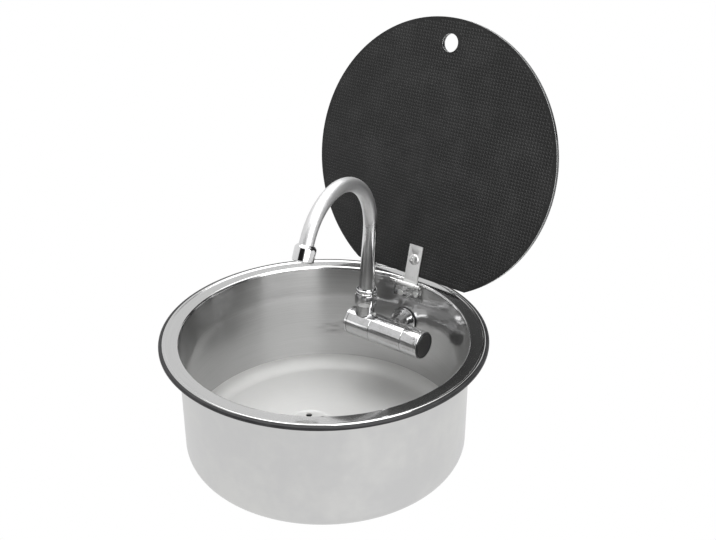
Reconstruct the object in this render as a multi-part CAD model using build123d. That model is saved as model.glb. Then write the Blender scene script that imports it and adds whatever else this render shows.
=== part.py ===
from build123d import *
import math
import os

# Round drop-in sink for a camper van: a drawn steel bowl, a hinged glass lid and a cold-water
# tap that folds down under the lid. Millimetres, +Z up, +Y towards the lid's hinge.
# The origin lies on the bowl's axis, level with the underside of the rim seal.

# Bowl
SHEET = 0.8
BOWL_R = 146.5
BOWL_DEPTH = 128.0
CORNER_R = 15.2
LEDGE_Z = 3.25
LEDGE_BEND_R = 1.8
LEDGE_OUT_R = 158.4
LIP_TOP_Z = 4.4
LIP_R = 162.0
LIP_ROOT_R = 159.7
HEM_Z = 1.5
LIP_ROOT_BEND_R = 1.2
LIP_BEND_R = 0.9
WALL_IN_R = BOWL_R - SHEET
FLOOR_Z = -BOWL_DEPTH + SHEET

# Rim seal
SEAL_IN_R = 149.5
SEAL_OUT_R = 165.3
SEAL_EDGE_Z = 3.7
SEAL_EDGE_ROUND = 1.4
SEAL_HEM_PLAY = 0.05
SEAL_STEP = 0.3
SEAL_STEP_IN = 1.8

# Waste
WASTE_X, WASTE_Y = -28.1, 4.9
RECESS_R = 29.0
RECESS_DEPTH = 1.1
RECESS_SLOPE = 1.2
WASTE_HOLE_R = 23.5
STRAINER_R = 26.2
STRAINER_T = 1.0
STRAINER_HOLE_R = 3.4
STRAINER_RINGS = ((8, 20.5, 130.5), (5, 11.0, 90.0))
CUP_FLANGE_R = 31.0
CUP_FLANGE_T = 3.0
CUP_R = 24.5
CUP_WALL = 2.2
CUP_DEPTH = 26.0
WASTE_SEAL_T = 2.0
TAIL_R = 12.5
TAIL_WALL = 2.0
TAIL_LENGTH = 30.0
SPIDER_HUB_R = 6.0
SPIDER_HUB_LENGTH = 10.0
SPIDER_DROP = 6.0
SPIDER_T = 4.0
SPIDER_ARMS = 3
SPIDER_FIRST = 30
INSERT_WALL = 1.2
WASTE_SCREW_R = 3.0
WASTE_SCREW_HEAD_R = 5.5
WASTE_SCREW_HEAD_H = 1.8

# Lid, given closed and then swung open
HINGE_Y = 140.5
HINGE_Z = -0.45
LID_OPEN = 104.4
LID_R = 148.5
LID_REACH = 141.2
LID_CHORD = 130.3
LID_UNDER = 4.0
BACKING_T = 1.2
GLASS_T = 5.0
FINGER_R = 9.6
FINGER_REACH = 122.7
GLASS_BEVEL = 0.7
BUSH_HOLE_R = 4.5

# Hinge
PIN_R = 1.5
KNUCKLE_R = 3.0
RUN = 0.05
LEAF_T = 1.4
LEAF_X = (-18.2, 19.4)
LEAF_BOTTOM_Z = -19.6
LEAF_NOTCH_Z = -5.0
LEAF_KNUCKLES = ((-20.3, -10.6), (12.8, 18.6))
STRAP_KNUCKLE = (-10.3, 12.5)
STRAP_X = (-5.1, 12.5)
STRAP_T = 1.5
STRAP_REACH = 45.0
STRAP_CORNER_R = 0.7
STRAP_SCREW_X, STRAP_SCREW_REACH = 3.6, 28.8
STRAP_HEAD_R, STRAP_HEAD_H = 6.0, 2.6
STRAP_WASHER_R, STRAP_WASHER_T = 8.5, 1.0
CAP_NUT_AF, CAP_NUT_H, CAP_DOME_R = 8.0, 4.0, 3.8
KNUCKLE_PLAY = 0.3
PIN_PROUD = 0.4
LEAF_SCREWS = ((-9.6, -15.4), (11.0, -11.4))
LEAF_HEAD_R, LEAF_HEAD_H = 3.7, 2.0
LEAF_SCREW_LENGTH = 9.0
HOLE_PLAY = 0.2
M4_R = 2.0
M4_WASHER_R, M4_WASHER_T = 4.5, 0.8
M4_NUT_AF, M4_NUT_H = 7.0, 3.2
M5_R = 2.5

# Tap: x along its body to the knob, y to the wall, z up, from where the body meets its stem
TAP_TURN = 1.4
TAP_REACH = 110.0
TAP_Z = -48.8
BODY_R = 15.6
TEE_END, TEE_START = -45.5, -15.8
BODY_START, BODY_END = -15.5, 26.5
KNOB_START, KNOB_END = 26.8, 48.3
KNOB_CAP_T = 2.0
KNOB_WALL = 1.8
KNOB_EDGE = 0.8
KNOB_HUB_R = 6.5
KNOB_HUB_START, KNOB_HUB_SEAT = 33.0, 41.0
KNOB_WEB = 1.5
KNOB_CAP_INSET = 1.2
KNOB_CAP_SEAT = 0.6
KNOB_SCREW_R = 1.5
KNOB_SCREW_LENGTH = 8.0
KNOB_SCREW_HEAD_R, KNOB_SCREW_HEAD_H = 3.0, 2.2
END_CAP_T = 3.7
END_CAP_EDGE = 1.0
PLUG_R = 6.0
PLUG_SEAT = -38.0
SPIGOT_R = 10.0
TEE_GAP = 0.3
EDGE_BREAK = 0.3
CHANNEL_R = 4.5
CHANNEL_BACK_START = 6.0
PORT_R = 2.8
PORT_RING_R = 8.0
TEE_SEAL_INSET = 5.0
TEE_SEAL_R = 9.2
TEE_SEAL_GROOVE_R = 8.4
SEAL_CORD_R = 0.78
SEAL_GROOVE_HALF = 0.9
CARTRIDGE_R = 11.0
CARTRIDGE_BACK = -2.0
CARTRIDGE_BORE_R = 3.6
SPINDLE_R = 3.5
SPINDLE_SOCKET = 8.5
SPINDLE_START = 9.0
STEM_R = 10.5
SHANK_R = 8.3
SHANK_LENGTH = 21.0
COLLAR_R = 15.2
COLLAR_T = 4.2
COLLAR_STEP_R = 12.6
COLLAR_STEP_SHARE = 0.45
WALL_Y = WALL_IN_R - TAP_REACH
COLLAR_GASKET_T = 1.6
BACK_GASKET_R = 15.0
BACK_GASKET_T = 2.2
TAP_WASHER_T = 1.5
BACKNUT_AF, BACKNUT_H = 27.0, 6.0
HOSE_TAIL_R = 5.5
HOSE_TAIL_LENGTH = 20.0
HOSE_BORE_R = 3.2
HOSE_HEX_AF, HOSE_HEX_H = 17.0, 4.0
HOSE_PLUG = 8.0

# Spout: the column leans back from upright, and its arch heads a little to the knob side
COLUMN_X = -30.3
COLUMN_LEAN = 4.6
SPOUT_HEADING = 5.8
SOCKET_R = 10.25
SOCKET_FOOT_Z = 4.0
SOCKET_TOP_Z = 25.8
SOCKET_THREAD_R = 9.6
SOCKET_THREAD_TOP = 35.0
SOCKET_ROOT_R = 2.0
OUTLET_R = 5.0
STOP_PIN_R = 1.7
STOP_PIN_RISE = 2.2
STOP_PIN_INSET = 2.0
STOP_PIN_SUNK = 4.0
STOP_PIN_ROUND = 0.6
NUT_R = 12.7
NUT_GRIP_TOP_Z = 37.0
NUT_SHELF_Z = 37.5
NUT_TOP_Z = 40.6
NUT_EDGE = 0.5
NUT_NECK_IN = 0.9
RING_R = 11.8
RING_SEAT_Z = 42.6
RING_TOP_Z = 44.5
FOOT_R = 7.8
FOOT_BOTTOM_Z = 23.0
FOOT_FLANGE_Z = (35.3, 37.2)
FOOT_SEAL_RISES = (2.5, 6.5)
FOOT_SEAL_R = 7.0
FOOT_SEAL_GROOVE_R = 6.2
TUBE_BASE_R = 8.9
TUBE_BASE_TOP_Z = 47.0
TAPER_TOP_Z = 108.0
TUBE_R = 7.6
TUBE_WALL = 1.2
ARCH_START_Z = 115.0
ARCH_R = 64.5
ARCH_ANGLE = 159.4
OUTLET_RUN = 19.2
AERATOR_R = 11.1
AERATOR_LENGTH = 17.2
AERATOR_SHOULDER = 2.4
AERATOR_OVERLAP = 8.0
AERATOR_IN_R = 9.4
AERATOR_LIP_R = 9.0
AERATOR_LIP_T = 1.2
AERATOR_INSERT_START = 9.5
AERATOR_HOLE_R = 0.95
AERATOR_RINGS = ((1, 0.0), (6, 3.2), (12, 6.4))

FACE = (Align.CENTER, Align.CENTER, Align.MIN)


def save(name, shape):
    """Write one named piece."""
    export_step(shape, f"parts/{name}.step")


def rod(radius, start, end, direction=(0, 0, 1), at=(0, 0, 0)):
    """A round bar along a direction, between two distances from a point."""
    way = Vector(*direction).normalized()
    foot = Vector(*at) + way * start
    return Plane(origin=foot, z_dir=way).location * Cylinder(radius, end - start, align=FACE)


def ring(outer, inner, start, end, direction=(0, 0, 1), at=(0, 0, 0)):
    """A round bar with a hole through it."""
    return rod(outer, start, end, direction, at) - rod(inner, start - 1, end + 1, direction, at)


def turned(points, angle=360):
    """Revolve a closed outline of (radius, height) points about the z axis."""
    outline = make_face(Plane.XZ * Polyline(*points, close=True))
    return revolve(outline, Axis.Z, angle)


def dome(radius, height, at, direction):
    """A shallow screw head, round on top and flat below."""
    ball_r = (radius**2 + height**2) / (2 * height)
    centre = Plane(origin=at, z_dir=direction)
    ball = Pos(0, 0, height - ball_r) * Sphere(ball_r)
    return centre.location * (ball & Cylinder(radius, height, align=FACE))


def hex_nut(across, thickness, bore, at, direction):
    """A hexagon nut with its corners turned off on the outer face."""
    corner_r = across / math.sqrt(3)
    chamfer_cone = Cone(corner_r + thickness, corner_r * 0.9, thickness, align=FACE)
    body = extrude(RegularPolygon(corner_r, 6), thickness) & chamfer_cone
    body -= Pos(0, 0, -1) * Cylinder(bore, thickness + 2, align=FACE)
    return Plane(origin=at, z_dir=direction).location * body


def radial(x, z, radius):
    """A point on the bowl wall at one x and height, and the way out through the wall there."""
    out = Vector(x, math.sqrt(WALL_IN_R**2 - x**2), 0).normalized()
    return Vector(out.X * radius, out.Y * radius, z), out


os.makedirs("parts", exist_ok=True)

# ---- Bowl: one sheet, followed along its middle from the centre of the floor to the rolled lip ----
half = SHEET / 2
ledge_mid = LEDGE_Z - half
wall_mid = BOWL_R - half
middle = [
    (0, FLOOR_Z - half),
    (wall_mid, FLOOR_Z - half),
    (wall_mid, ledge_mid),
    (LEDGE_OUT_R, ledge_mid),
    (LIP_ROOT_R, LIP_TOP_Z - half),
    (LIP_R - half, LIP_TOP_Z - half),
    (LIP_R - half, HEM_Z),
]
bends = (CORNER_R - half, LEDGE_BEND_R + half, LEDGE_BEND_R, LIP_ROOT_BEND_R, LIP_BEND_R)


def bent_path(points, radii):
    """Straight runs joined by tangent arcs, one radius for each inner point."""
    runs, last = [], Vector(*points[0])
    for index, radius in enumerate(radii, start=1):
        corner = Vector(*points[index])
        back = (last - corner).normalized()
        ahead = (Vector(*points[index + 1]) - corner).normalized()
        half_turn = (math.pi - math.acos(back.dot(ahead))) / 2
        reach = radius * math.tan(half_turn)
        first, second = corner + back * reach, corner + ahead * reach
        centre = corner + (back + ahead).normalized() * (radius / math.cos(half_turn))
        top = centre + (corner - centre).normalized() * radius
        runs += [Line(last, first), ThreePointArc(first, top, second)]
        last = second
    runs.append(Line(last, Vector(*points[-1])))
    return runs


def sheet_section(points, radii, thickness):
    """The closed section of a sheet of one thickness about a bent path."""
    path = Wire([edge for run in bent_path(points, radii) for edge in run.edges()])
    return make_face(path.offset_2d(thickness / 2, side=Side.BOTH).edges())


bowl_section = Plane.XZ * sheet_section(middle, bends, SHEET)
outer_half = Plane.XZ * Rectangle(BOWL_R * 2, BOWL_R * 4, align=(Align.MIN, Align.CENTER))
bowl = revolve(bowl_section & outer_half, Axis.Z)

waste = Pos(WASTE_X, WASTE_Y, 0)
recess_floor = FLOOR_Z - RECESS_DEPTH
recess_top = RECESS_R + RECESS_SLOPE
recess_sheet = turned([
    (WASTE_HOLE_R, recess_floor),
    (RECESS_R, recess_floor),
    (recess_top, FLOOR_Z),
    (recess_top, FLOOR_Z - SHEET),
    (recess_top - SHEET / 4, FLOOR_Z - SHEET),
    (RECESS_R - SHEET / 4, recess_floor - SHEET),
    (WASTE_HOLE_R, recess_floor - SHEET),
])
bowl -= waste * Pos(0, 0, -BOWL_DEPTH - 1) * Cylinder(recess_top, SHEET + 2, align=FACE)
bowl += waste * recess_sheet

tap = Rot(0, 0, TAP_TURN) * Pos(0, TAP_REACH, TAP_Z)
bowl -= tap * rod(SHANK_R + HOLE_PLAY, WALL_Y - 9, WALL_Y + 9, (0, 1, 0))
leaf_points = [radial(x, z, WALL_IN_R) for x, z in LEAF_SCREWS]
for point, out in leaf_points:
    bowl -= rod(M4_R + HOLE_PLAY, -6, 6, out, point)
save("bowl", bowl)

# ---- Rim seal: a flat ring with a raised edge that hides the cut edge of the sheet ----
seal_floor = LEDGE_Z - SHEET
groove_floor = HEM_Z - SHEET / 2
hem_in = LIP_R - SHEET - SEAL_HEM_PLAY * 2
seal_section = Plane.XZ * Polyline(
    (SEAL_IN_R, 0),
    (SEAL_OUT_R, 0),
    (SEAL_OUT_R, SEAL_EDGE_Z),
    (LIP_R + SEAL_HEM_PLAY, SEAL_EDGE_Z),
    (LIP_R + SEAL_HEM_PLAY, groove_floor),
    (hem_in, groove_floor),
    (hem_in, seal_floor - SEAL_STEP),
    (LIP_ROOT_R - SEAL_STEP_IN, seal_floor),
    (SEAL_IN_R, seal_floor),
    close=True,
)
seal = revolve(make_face(seal_section), Axis.Z)
top_outer = seal.edges().filter_by(GeomType.CIRCLE).filter_by(
    lambda edge: edge.radius > SEAL_OUT_R - 0.01 and edge.center().Z > SEAL_EDGE_Z - 0.01
)
seal = fillet(top_outer, SEAL_EDGE_ROUND)
save("rim_seal", seal)

# ---- Waste: strainer plate, seal, cup and the screw that clamps them through the hole ----
through = STRAINER_T * 4
strainer = Cylinder(STRAINER_R, STRAINER_T, align=FACE)
strainer -= Cylinder(WASTE_SCREW_R, through)
for count, pitch_r, first in STRAINER_RINGS:
    for index in range(count):
        angle = first + 360 / count * index
        strainer -= Rot(0, 0, angle) * Pos(pitch_r, 0, 0) * Cylinder(STRAINER_HOLE_R, through)
save("waste_strainer", waste * Pos(0, 0, recess_floor) * strainer)

seal_top = recess_floor - SHEET
cup_top = seal_top - WASTE_SEAL_T
cup_floor = cup_top - CUP_DEPTH
save("waste_seal", waste * ring(CUP_FLANGE_R, WASTE_HOLE_R, cup_top, seal_top))
cup_in = CUP_R - CUP_WALL
tail_in = TAIL_R - TAIL_WALL
taper_foot = cup_floor - CUP_WALL * 3
cup = turned([
    (cup_in, cup_top),
    (CUP_FLANGE_R, cup_top),
    (CUP_FLANGE_R, cup_top - CUP_FLANGE_T),
    (CUP_R, cup_top - CUP_FLANGE_T),
    (CUP_R, cup_floor),
    (TAIL_R, taper_foot),
    (TAIL_R, taper_foot - TAIL_LENGTH),
    (tail_in, taper_foot - TAIL_LENGTH),
    (tail_in, cup_floor - CUP_WALL),
    (cup_in, cup_floor + CUP_WALL),
])
hub_top = cup_top - SPIDER_DROP
hub_foot = hub_top - SPIDER_HUB_LENGTH
for arm in range(SPIDER_ARMS):
    spoke = Box(cup_in + 0.5, SPIDER_T, SPIDER_T, align=(Align.MIN, Align.CENTER, Align.MAX))
    cup += Rot(0, 0, SPIDER_FIRST + 360 / SPIDER_ARMS * arm) * Pos(0, 0, hub_top) * spoke
cup += rod(SPIDER_HUB_R, hub_foot, hub_top)
insert_r = WASTE_SCREW_R + INSERT_WALL
cup -= rod(insert_r, hub_foot - 1, hub_top + 1)
save("waste_cup", waste * cup)
save("waste_insert", waste * ring(insert_r, WASTE_SCREW_R, hub_foot, hub_top))
head_seat = recess_floor + STRAINER_T
waste_screw = dome(WASTE_SCREW_HEAD_R, WASTE_SCREW_HEAD_H, (0, 0, head_seat), (0, 0, 1))
waste_screw += rod(WASTE_SCREW_R, hub_foot + 1, head_seat)
save("waste_screw", waste * waste_screw)

# ---- Lid: modelled closed, then swung open about the hinge ----
hinge_foot = (0, HINGE_Y, HINGE_Z)
opened = Pos(*hinge_foot) * Rot(-LID_OPEN, 0, 0)
lid_centre = Pos(0, -LID_REACH, 0)
lid_disc = Rectangle(LID_R * 3, LID_R + LID_CHORD, align=(Align.CENTER, Align.MAX))
lid_outline = Circle(LID_R) & Pos(0, LID_CHORD, 0) * lid_disc
strap_hole = (STRAP_SCREW_X, -STRAP_SCREW_REACH)


def lid_plate(start, thickness, hole_r):
    """One layer of the lid with its finger hole and the hole for the strap's screw."""
    plate = lid_centre * extrude(lid_outline, thickness)
    plate -= Pos(0, -LID_REACH - FINGER_REACH, -1) * Cylinder(FINGER_R, thickness + 2, align=FACE)
    plate -= Pos(*strap_hole, -1) * Cylinder(hole_r, thickness + 2, align=FACE)
    return Pos(0, 0, start) * plate


glass_foot = LID_UNDER + BACKING_T
glass_top = glass_foot + GLASS_T
glass = lid_plate(glass_foot, GLASS_T, BUSH_HOLE_R)
glass = chamfer(glass.faces().sort_by(Axis.Z)[-1].outer_wire().edges(), GLASS_BEVEL)
save("lid_glass", opened * glass)
save("lid_backing", opened * lid_plate(LID_UNDER, BACKING_T, BUSH_HOLE_R))

knuckle_bore = PIN_R + RUN
strap_start, strap_end = STRAP_KNUCKLE
strap_foot = LID_UNDER - STRAP_T
strap_width = STRAP_X[1] - STRAP_X[0]
strap_plate = Pos(STRAP_X[0], 0, strap_foot) * Box(
    strap_width, STRAP_REACH, STRAP_T, align=(Align.MIN, Align.MAX, Align.MIN)
)
strap_plate = fillet(strap_plate.edges().filter_by(Axis.Z).sort_by(Axis.Y)[:2], STRAP_CORNER_R)
strap = strap_plate + rod(KNUCKLE_R, strap_start, strap_end, (1, 0, 0))
strap -= rod(knuckle_bore, strap_start - 1, strap_end + 1, (1, 0, 0))
strap -= Pos(*strap_hole, strap_foot - 1) * Cylinder(M5_R, STRAP_T + 2, align=FACE)
save("hinge_strap", opened * strap)

screw_at = (*strap_hole, 0)
strap_screw = dome(STRAP_HEAD_R, STRAP_HEAD_H, (*strap_hole, strap_foot), (0, 0, -1))
strap_screw += rod(M5_R, strap_foot, glass_top + CAP_NUT_H, at=screw_at)
save("strap_screw", opened * strap_screw)
save("strap_bush", opened * ring(BUSH_HOLE_R, M5_R, LID_UNDER, glass_top, at=screw_at))
nut_seat = glass_top + STRAP_WASHER_T
save("strap_washer", opened * ring(STRAP_WASHER_R, M5_R, glass_top, nut_seat, at=screw_at))
cap_nut = hex_nut(CAP_NUT_AF, CAP_NUT_H, M5_R, (*strap_hole, nut_seat), (0, 0, 1))
cap_dome = Sphere(CAP_DOME_R) & Cylinder(CAP_NUT_AF / 2, CAP_NUT_H, align=FACE)
cap_nut += Pos(*strap_hole, nut_seat + CAP_NUT_H) * cap_dome
cap_nut -= rod(M5_R, glass_top, glass_top + CAP_NUT_H, at=screw_at)
save("strap_cap_nut", opened * cap_nut)

# ---- Hinge leaf on the bowl wall, and the pin ----
wall_tube = ring(WALL_IN_R, WALL_IN_R - LEAF_T, -60, 20)
leaf_blank = Pos(LEAF_X[0], HINGE_Y, LEAF_BOTTOM_Z) * Box(
    LEAF_X[1] - LEAF_X[0], 30, HINGE_Z - LEAF_BOTTOM_Z, align=(Align.MIN, Align.MIN, Align.MIN)
)
leaf = wall_tube & leaf_blank
foot_z = HINGE_Z - KNUCKLE_R
notch_width = strap_end - strap_start + KNUCKLE_PLAY * 2
leaf -= Pos(strap_start - KNUCKLE_PLAY, HINGE_Y, LEAF_NOTCH_Z) * Box(
    notch_width, 20, 20, align=(Align.MIN, Align.CENTER, Align.MIN)
)
inside_wall = Pos(0, 0, -60) * Cylinder(WALL_IN_R, 100, align=FACE)
for start, end in LEAF_KNUCKLES:
    leaf += rod(KNUCKLE_R, start, end, (1, 0, 0), hinge_foot)
    curl = Box(end - start, 8, LEAF_T, align=(Align.MIN, Align.MIN, Align.MIN))
    leaf += (Pos(start, HINGE_Y, foot_z) * curl) & inside_wall
leaf -= rod(PIN_R, -30, 30, (1, 0, 0), hinge_foot)
nuts, washers, screws = [], [], []
leaf_face = Pos(0, 0, -60) * Cylinder(WALL_IN_R - LEAF_T, 100, align=FACE)
for point, out in leaf_points:
    leaf -= rod(M4_R, -6, 6, out, point)
    seat = point - out * LEAF_T
    head = dome(LEAF_HEAD_R, LEAF_HEAD_H, tuple(seat), tuple(-out)) & leaf_face
    screws.append(head + rod(M4_R, -LEAF_T - 0.3, LEAF_SCREW_LENGTH, out, point))
    washers.append(ring(M4_WASHER_R, M4_R, SHEET, SHEET + M4_WASHER_T, out, point))
    nut_foot = point + out * (SHEET + M4_WASHER_T)
    nuts.append(hex_nut(M4_NUT_AF, M4_NUT_H, M4_R, tuple(nut_foot), tuple(out)))
save("hinge_leaf", leaf)
save("leaf_screws", Compound(screws))
save("leaf_washers", Compound(washers))
save("leaf_nuts", Compound(nuts))
pin_start = LEAF_KNUCKLES[0][0] - PIN_PROUD
pin_end = LEAF_KNUCKLES[1][1] + PIN_PROUD
save("hinge_pin", rod(PIN_R, pin_start, pin_end, (1, 0, 0), hinge_foot))

# ---- Tap body: barrel, spigot for the tee, stem and threaded shank through the wall ----
X_WAY, Y_WAY, Z_WAY = (1, 0, 0), (0, 1, 0), (0, 0, 1)
flange_y = WALL_Y - COLLAR_GASKET_T - COLLAR_T
shank_end = WALL_Y + SHANK_LENGTH
cap_face = TEE_END - TEE_GAP
body = rod(BODY_R, BODY_START, BODY_END, X_WAY)
body = chamfer(body.edges().filter_by(GeomType.CIRCLE), EDGE_BREAK)
body += rod(SPIGOT_R, cap_face, BODY_START, X_WAY)
body += rod(STEM_R, 0, flange_y, Y_WAY)
body += rod(SHANK_R, flange_y - 1, shank_end, Y_WAY)
body -= rod(CARTRIDGE_R, CARTRIDGE_BACK, BODY_END + 1, X_WAY)
body -= rod(CHANNEL_R, PLUG_SEAT, 0, X_WAY)
body -= rod(PLUG_R, cap_face - 1, PLUG_SEAT, X_WAY)
body -= rod(CHANNEL_R, CHANNEL_BACK_START, shank_end + 1, Y_WAY)
body -= ring(SPIGOT_R + 1, PORT_RING_R, COLUMN_X - CHANNEL_R, COLUMN_X + CHANNEL_R, X_WAY)
for quarter in range(4):
    port = Cylinder(PORT_R, SPIGOT_R + 1, align=FACE)
    body -= Pos(COLUMN_X, 0, 0) * Rot(90 * quarter, 0, 0) * port
oring_xs = (TEE_END + TEE_SEAL_INSET, TEE_START - TEE_SEAL_INSET)
for x in oring_xs:
    body -= ring(SPIGOT_R + 1, TEE_SEAL_GROOVE_R, x - SEAL_GROOVE_HALF, x + SEAL_GROOVE_HALF, X_WAY)
save("tap_body", tap * body)
orings = [Pos(x, 0, 0) * Rot(0, 90, 0) * Torus(TEE_SEAL_R, SEAL_CORD_R) for x in oring_xs]
save("tee_seals", tap * Compound(orings))
end_cap = rod(BODY_R, cap_face - END_CAP_T, cap_face, X_WAY)
end_cap = chamfer(end_cap.edges().filter_by(GeomType.CIRCLE).sort_by(Axis.X)[:1], END_CAP_EDGE)
end_cap += rod(PLUG_R, cap_face, PLUG_SEAT - 1, X_WAY)
save("tee_end_cap", tap * end_cap)

# ---- Where the tap passes through the wall ----
bowl_axis = Pos(0, -TAP_REACH, -60)
seal_side = bowl_axis * Cylinder(WALL_IN_R - COLLAR_GASKET_T, 120, align=FACE)
wall_side = bowl_axis * Cylinder(WALL_IN_R, 120, align=FACE)
outer_side = bowl_axis * Cylinder(BOWL_R, 120, align=FACE)
step_y = flange_y + COLLAR_T * COLLAR_STEP_SHARE
flange = ring(COLLAR_R, SHANK_R, step_y, WALL_Y, Y_WAY)
flange += ring(COLLAR_STEP_R, SHANK_R, flange_y, step_y, Y_WAY)
save("tap_flange", tap * (flange & seal_side))
gasket_ring = ring(COLLAR_R, SHANK_R, flange_y, WALL_Y, Y_WAY)
save("tap_wall_gasket", tap * ((gasket_ring & wall_side) - seal_side))
washer_y = WALL_Y + SHEET + BACK_GASKET_T
backnut_y = washer_y + TAP_WASHER_T
back_gasket = ring(BACK_GASKET_R, SHANK_R, WALL_Y - 4, washer_y, Y_WAY)
save("tap_back_gasket", tap * (back_gasket - outer_side))
save("tap_washer", tap * ring(BACK_GASKET_R, SHANK_R, washer_y, backnut_y, Y_WAY))
save("tap_backnut", tap * hex_nut(BACKNUT_AF, BACKNUT_H, SHANK_R, (0, backnut_y, 0), Y_WAY))
tail_end = shank_end + HOSE_HEX_H + HOSE_TAIL_LENGTH
tail = rod(HOSE_TAIL_R, shank_end, tail_end, Y_WAY)
tail += hex_nut(HOSE_HEX_AF, HOSE_HEX_H, 3, (0, shank_end, 0), Y_WAY)
tail += rod(CHANNEL_R, shank_end - HOSE_PLUG, shank_end + 1, Y_WAY)
tail -= rod(HOSE_BORE_R, shank_end - HOSE_PLUG - 1, tail_end + 1, Y_WAY)
save("hose_tail", tap * tail)

# ---- Valve and knob ----
cartridge = rod(CARTRIDGE_R, CARTRIDGE_BACK, BODY_END, X_WAY)
cartridge -= rod(SPINDLE_R + RUN, SPINDLE_SOCKET, BODY_END + 1, X_WAY)
cartridge -= rod(CARTRIDGE_BORE_R, CARTRIDGE_BACK - 1, SPINDLE_SOCKET, X_WAY)
cartridge -= rod(CARTRIDGE_BORE_R, 0, CARTRIDGE_R + 1, Y_WAY)
save("valve_cartridge", tap * cartridge)
screw_foot = KNOB_HUB_SEAT - KNOB_SCREW_LENGTH
screw_seat = KNOB_HUB_SEAT + KNOB_CAP_INSET
spindle = rod(SPINDLE_R, SPINDLE_START, KNOB_HUB_SEAT, X_WAY)
spindle -= rod(KNOB_SCREW_R, screw_foot - 1, KNOB_HUB_SEAT + 1, X_WAY)
save("valve_spindle", tap * spindle)
cap_start = KNOB_END - KNOB_CAP_SEAT
cap_r = BODY_R - KNOB_CAP_INSET
knob = rod(BODY_R, KNOB_START, KNOB_END, X_WAY)
knob = chamfer(knob.edges().filter_by(GeomType.CIRCLE).sort_by(Axis.X)[-1:], KNOB_EDGE)
knob -= rod(BODY_R - KNOB_WALL, KNOB_START - 1, KNOB_HUB_SEAT - KNOB_WEB, X_WAY)
knob += rod(KNOB_HUB_R, KNOB_HUB_START, KNOB_HUB_SEAT, X_WAY)
knob -= rod(SPINDLE_R, KNOB_HUB_START - 1, KNOB_HUB_SEAT, X_WAY)
knob -= rod(KNOB_SCREW_R + 0.1, KNOB_HUB_SEAT - 1, KNOB_END, X_WAY)
knob -= rod(KNOB_SCREW_HEAD_R + KNOB_CAP_INSET, screw_seat, KNOB_END + 1, X_WAY)
knob -= rod(cap_r, cap_start, KNOB_END + 1, X_WAY)
save("knob", tap * knob)
knob_screw = rod(KNOB_SCREW_R, screw_foot, screw_seat, X_WAY)
knob_screw += rod(KNOB_SCREW_HEAD_R, screw_seat, screw_seat + KNOB_SCREW_HEAD_H, X_WAY)
save("knob_screw", tap * knob_screw)
knob_cap = rod(cap_r, cap_start, KNOB_END + KNOB_CAP_T, X_WAY)
knob_cap = fillet(knob_cap.edges().filter_by(GeomType.CIRCLE).sort_by(Axis.X)[-1:], KNOB_EDGE)
save("knob_cap", tap * knob_cap)

# ---- Tee: turns on the spigot and carries the spout ----
leaned = tap * Rot(-COLUMN_LEAN, 0, 0)
column = Pos(COLUMN_X, 0, 0)
tee = rod(BODY_R, TEE_END, TEE_START, X_WAY)
tee = chamfer(tee.edges().filter_by(GeomType.CIRCLE), EDGE_BREAK)
socket = turned([
    (0, SOCKET_FOOT_Z),
    (SOCKET_R, SOCKET_FOOT_Z),
    (SOCKET_R, SOCKET_TOP_Z - EDGE_BREAK),
    (SOCKET_THREAD_R, SOCKET_TOP_Z - EDGE_BREAK),
    (SOCKET_THREAD_R, SOCKET_THREAD_TOP),
    (0, SOCKET_THREAD_TOP),
])
tee += column * socket
root = [
    edge for edge in tee.edges()
    if edge.geom_type not in (GeomType.CIRCLE, GeomType.LINE) and edge.bounding_box().min.Z > 8
]
tee = fillet(root, SOCKET_ROOT_R)
tee -= rod(SPIGOT_R + RUN, TEE_END - 1, TEE_START + 1, X_WAY)
tee -= column * rod(OUTLET_R, 0, FOOT_BOTTOM_Z, Z_WAY)
tee -= column * rod(FOOT_R + RUN, FOOT_BOTTOM_Z - 0.5, SOCKET_THREAD_TOP + 1, Z_WAY)
pin_at = (TEE_START - STOP_PIN_INSET, 0, 0)
stop_pin = rod(STOP_PIN_R, BODY_R - STOP_PIN_SUNK, BODY_R + STOP_PIN_RISE, Z_WAY, pin_at)
tee -= stop_pin
save("tee", leaned * tee)
stop_pin = fillet(stop_pin.edges().sort_by(Axis.Z)[-1:], STOP_PIN_ROUND)
save("stop_pin", leaned * stop_pin)

nut_grip_r = NUT_R - NUT_EDGE
nut_neck_r = RING_R - NUT_NECK_IN
nut_bore_r = FOOT_R + NUT_EDGE
grip_foot = (nut_grip_r, SOCKET_TOP_Z)
grip_middle = (NUT_R, (SOCKET_TOP_Z + NUT_GRIP_TOP_Z) / 2)
grip_top = (nut_grip_r, NUT_GRIP_TOP_Z)
nut_outline = ThreePointArc(grip_foot, grip_middle, grip_top) + Polyline(
    grip_top,
    (nut_neck_r, NUT_GRIP_TOP_Z + 0.2),
    (nut_neck_r, NUT_SHELF_Z),
    (RING_R, NUT_SHELF_Z + NUT_EDGE),
    (RING_R, NUT_TOP_Z - NUT_EDGE),
    (RING_R - NUT_EDGE, NUT_TOP_Z),
    (nut_bore_r, NUT_TOP_Z),
    (nut_bore_r, NUT_SHELF_Z),
    (SOCKET_THREAD_R, NUT_SHELF_Z),
    (SOCKET_THREAD_R, SOCKET_TOP_Z),
    grip_foot,
)
save("union_nut", leaned * column * revolve(make_face(Plane.XZ * nut_outline), Axis.Z))

# ---- Spout ----
spout = leaned * column * Rot(0, 0, SPOUT_HEADING)
rise = Line((0, 0, TAPER_TOP_Z), (0, 0, ARCH_START_Z))
turn = math.radians(ARCH_ANGLE)


def arch_point(angle):
    """A point on the arch's centre line, by how far the tube has turned."""
    return Vector(0, -ARCH_R * (1 - math.cos(angle)), ARCH_START_Z + ARCH_R * math.sin(angle))


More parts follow.
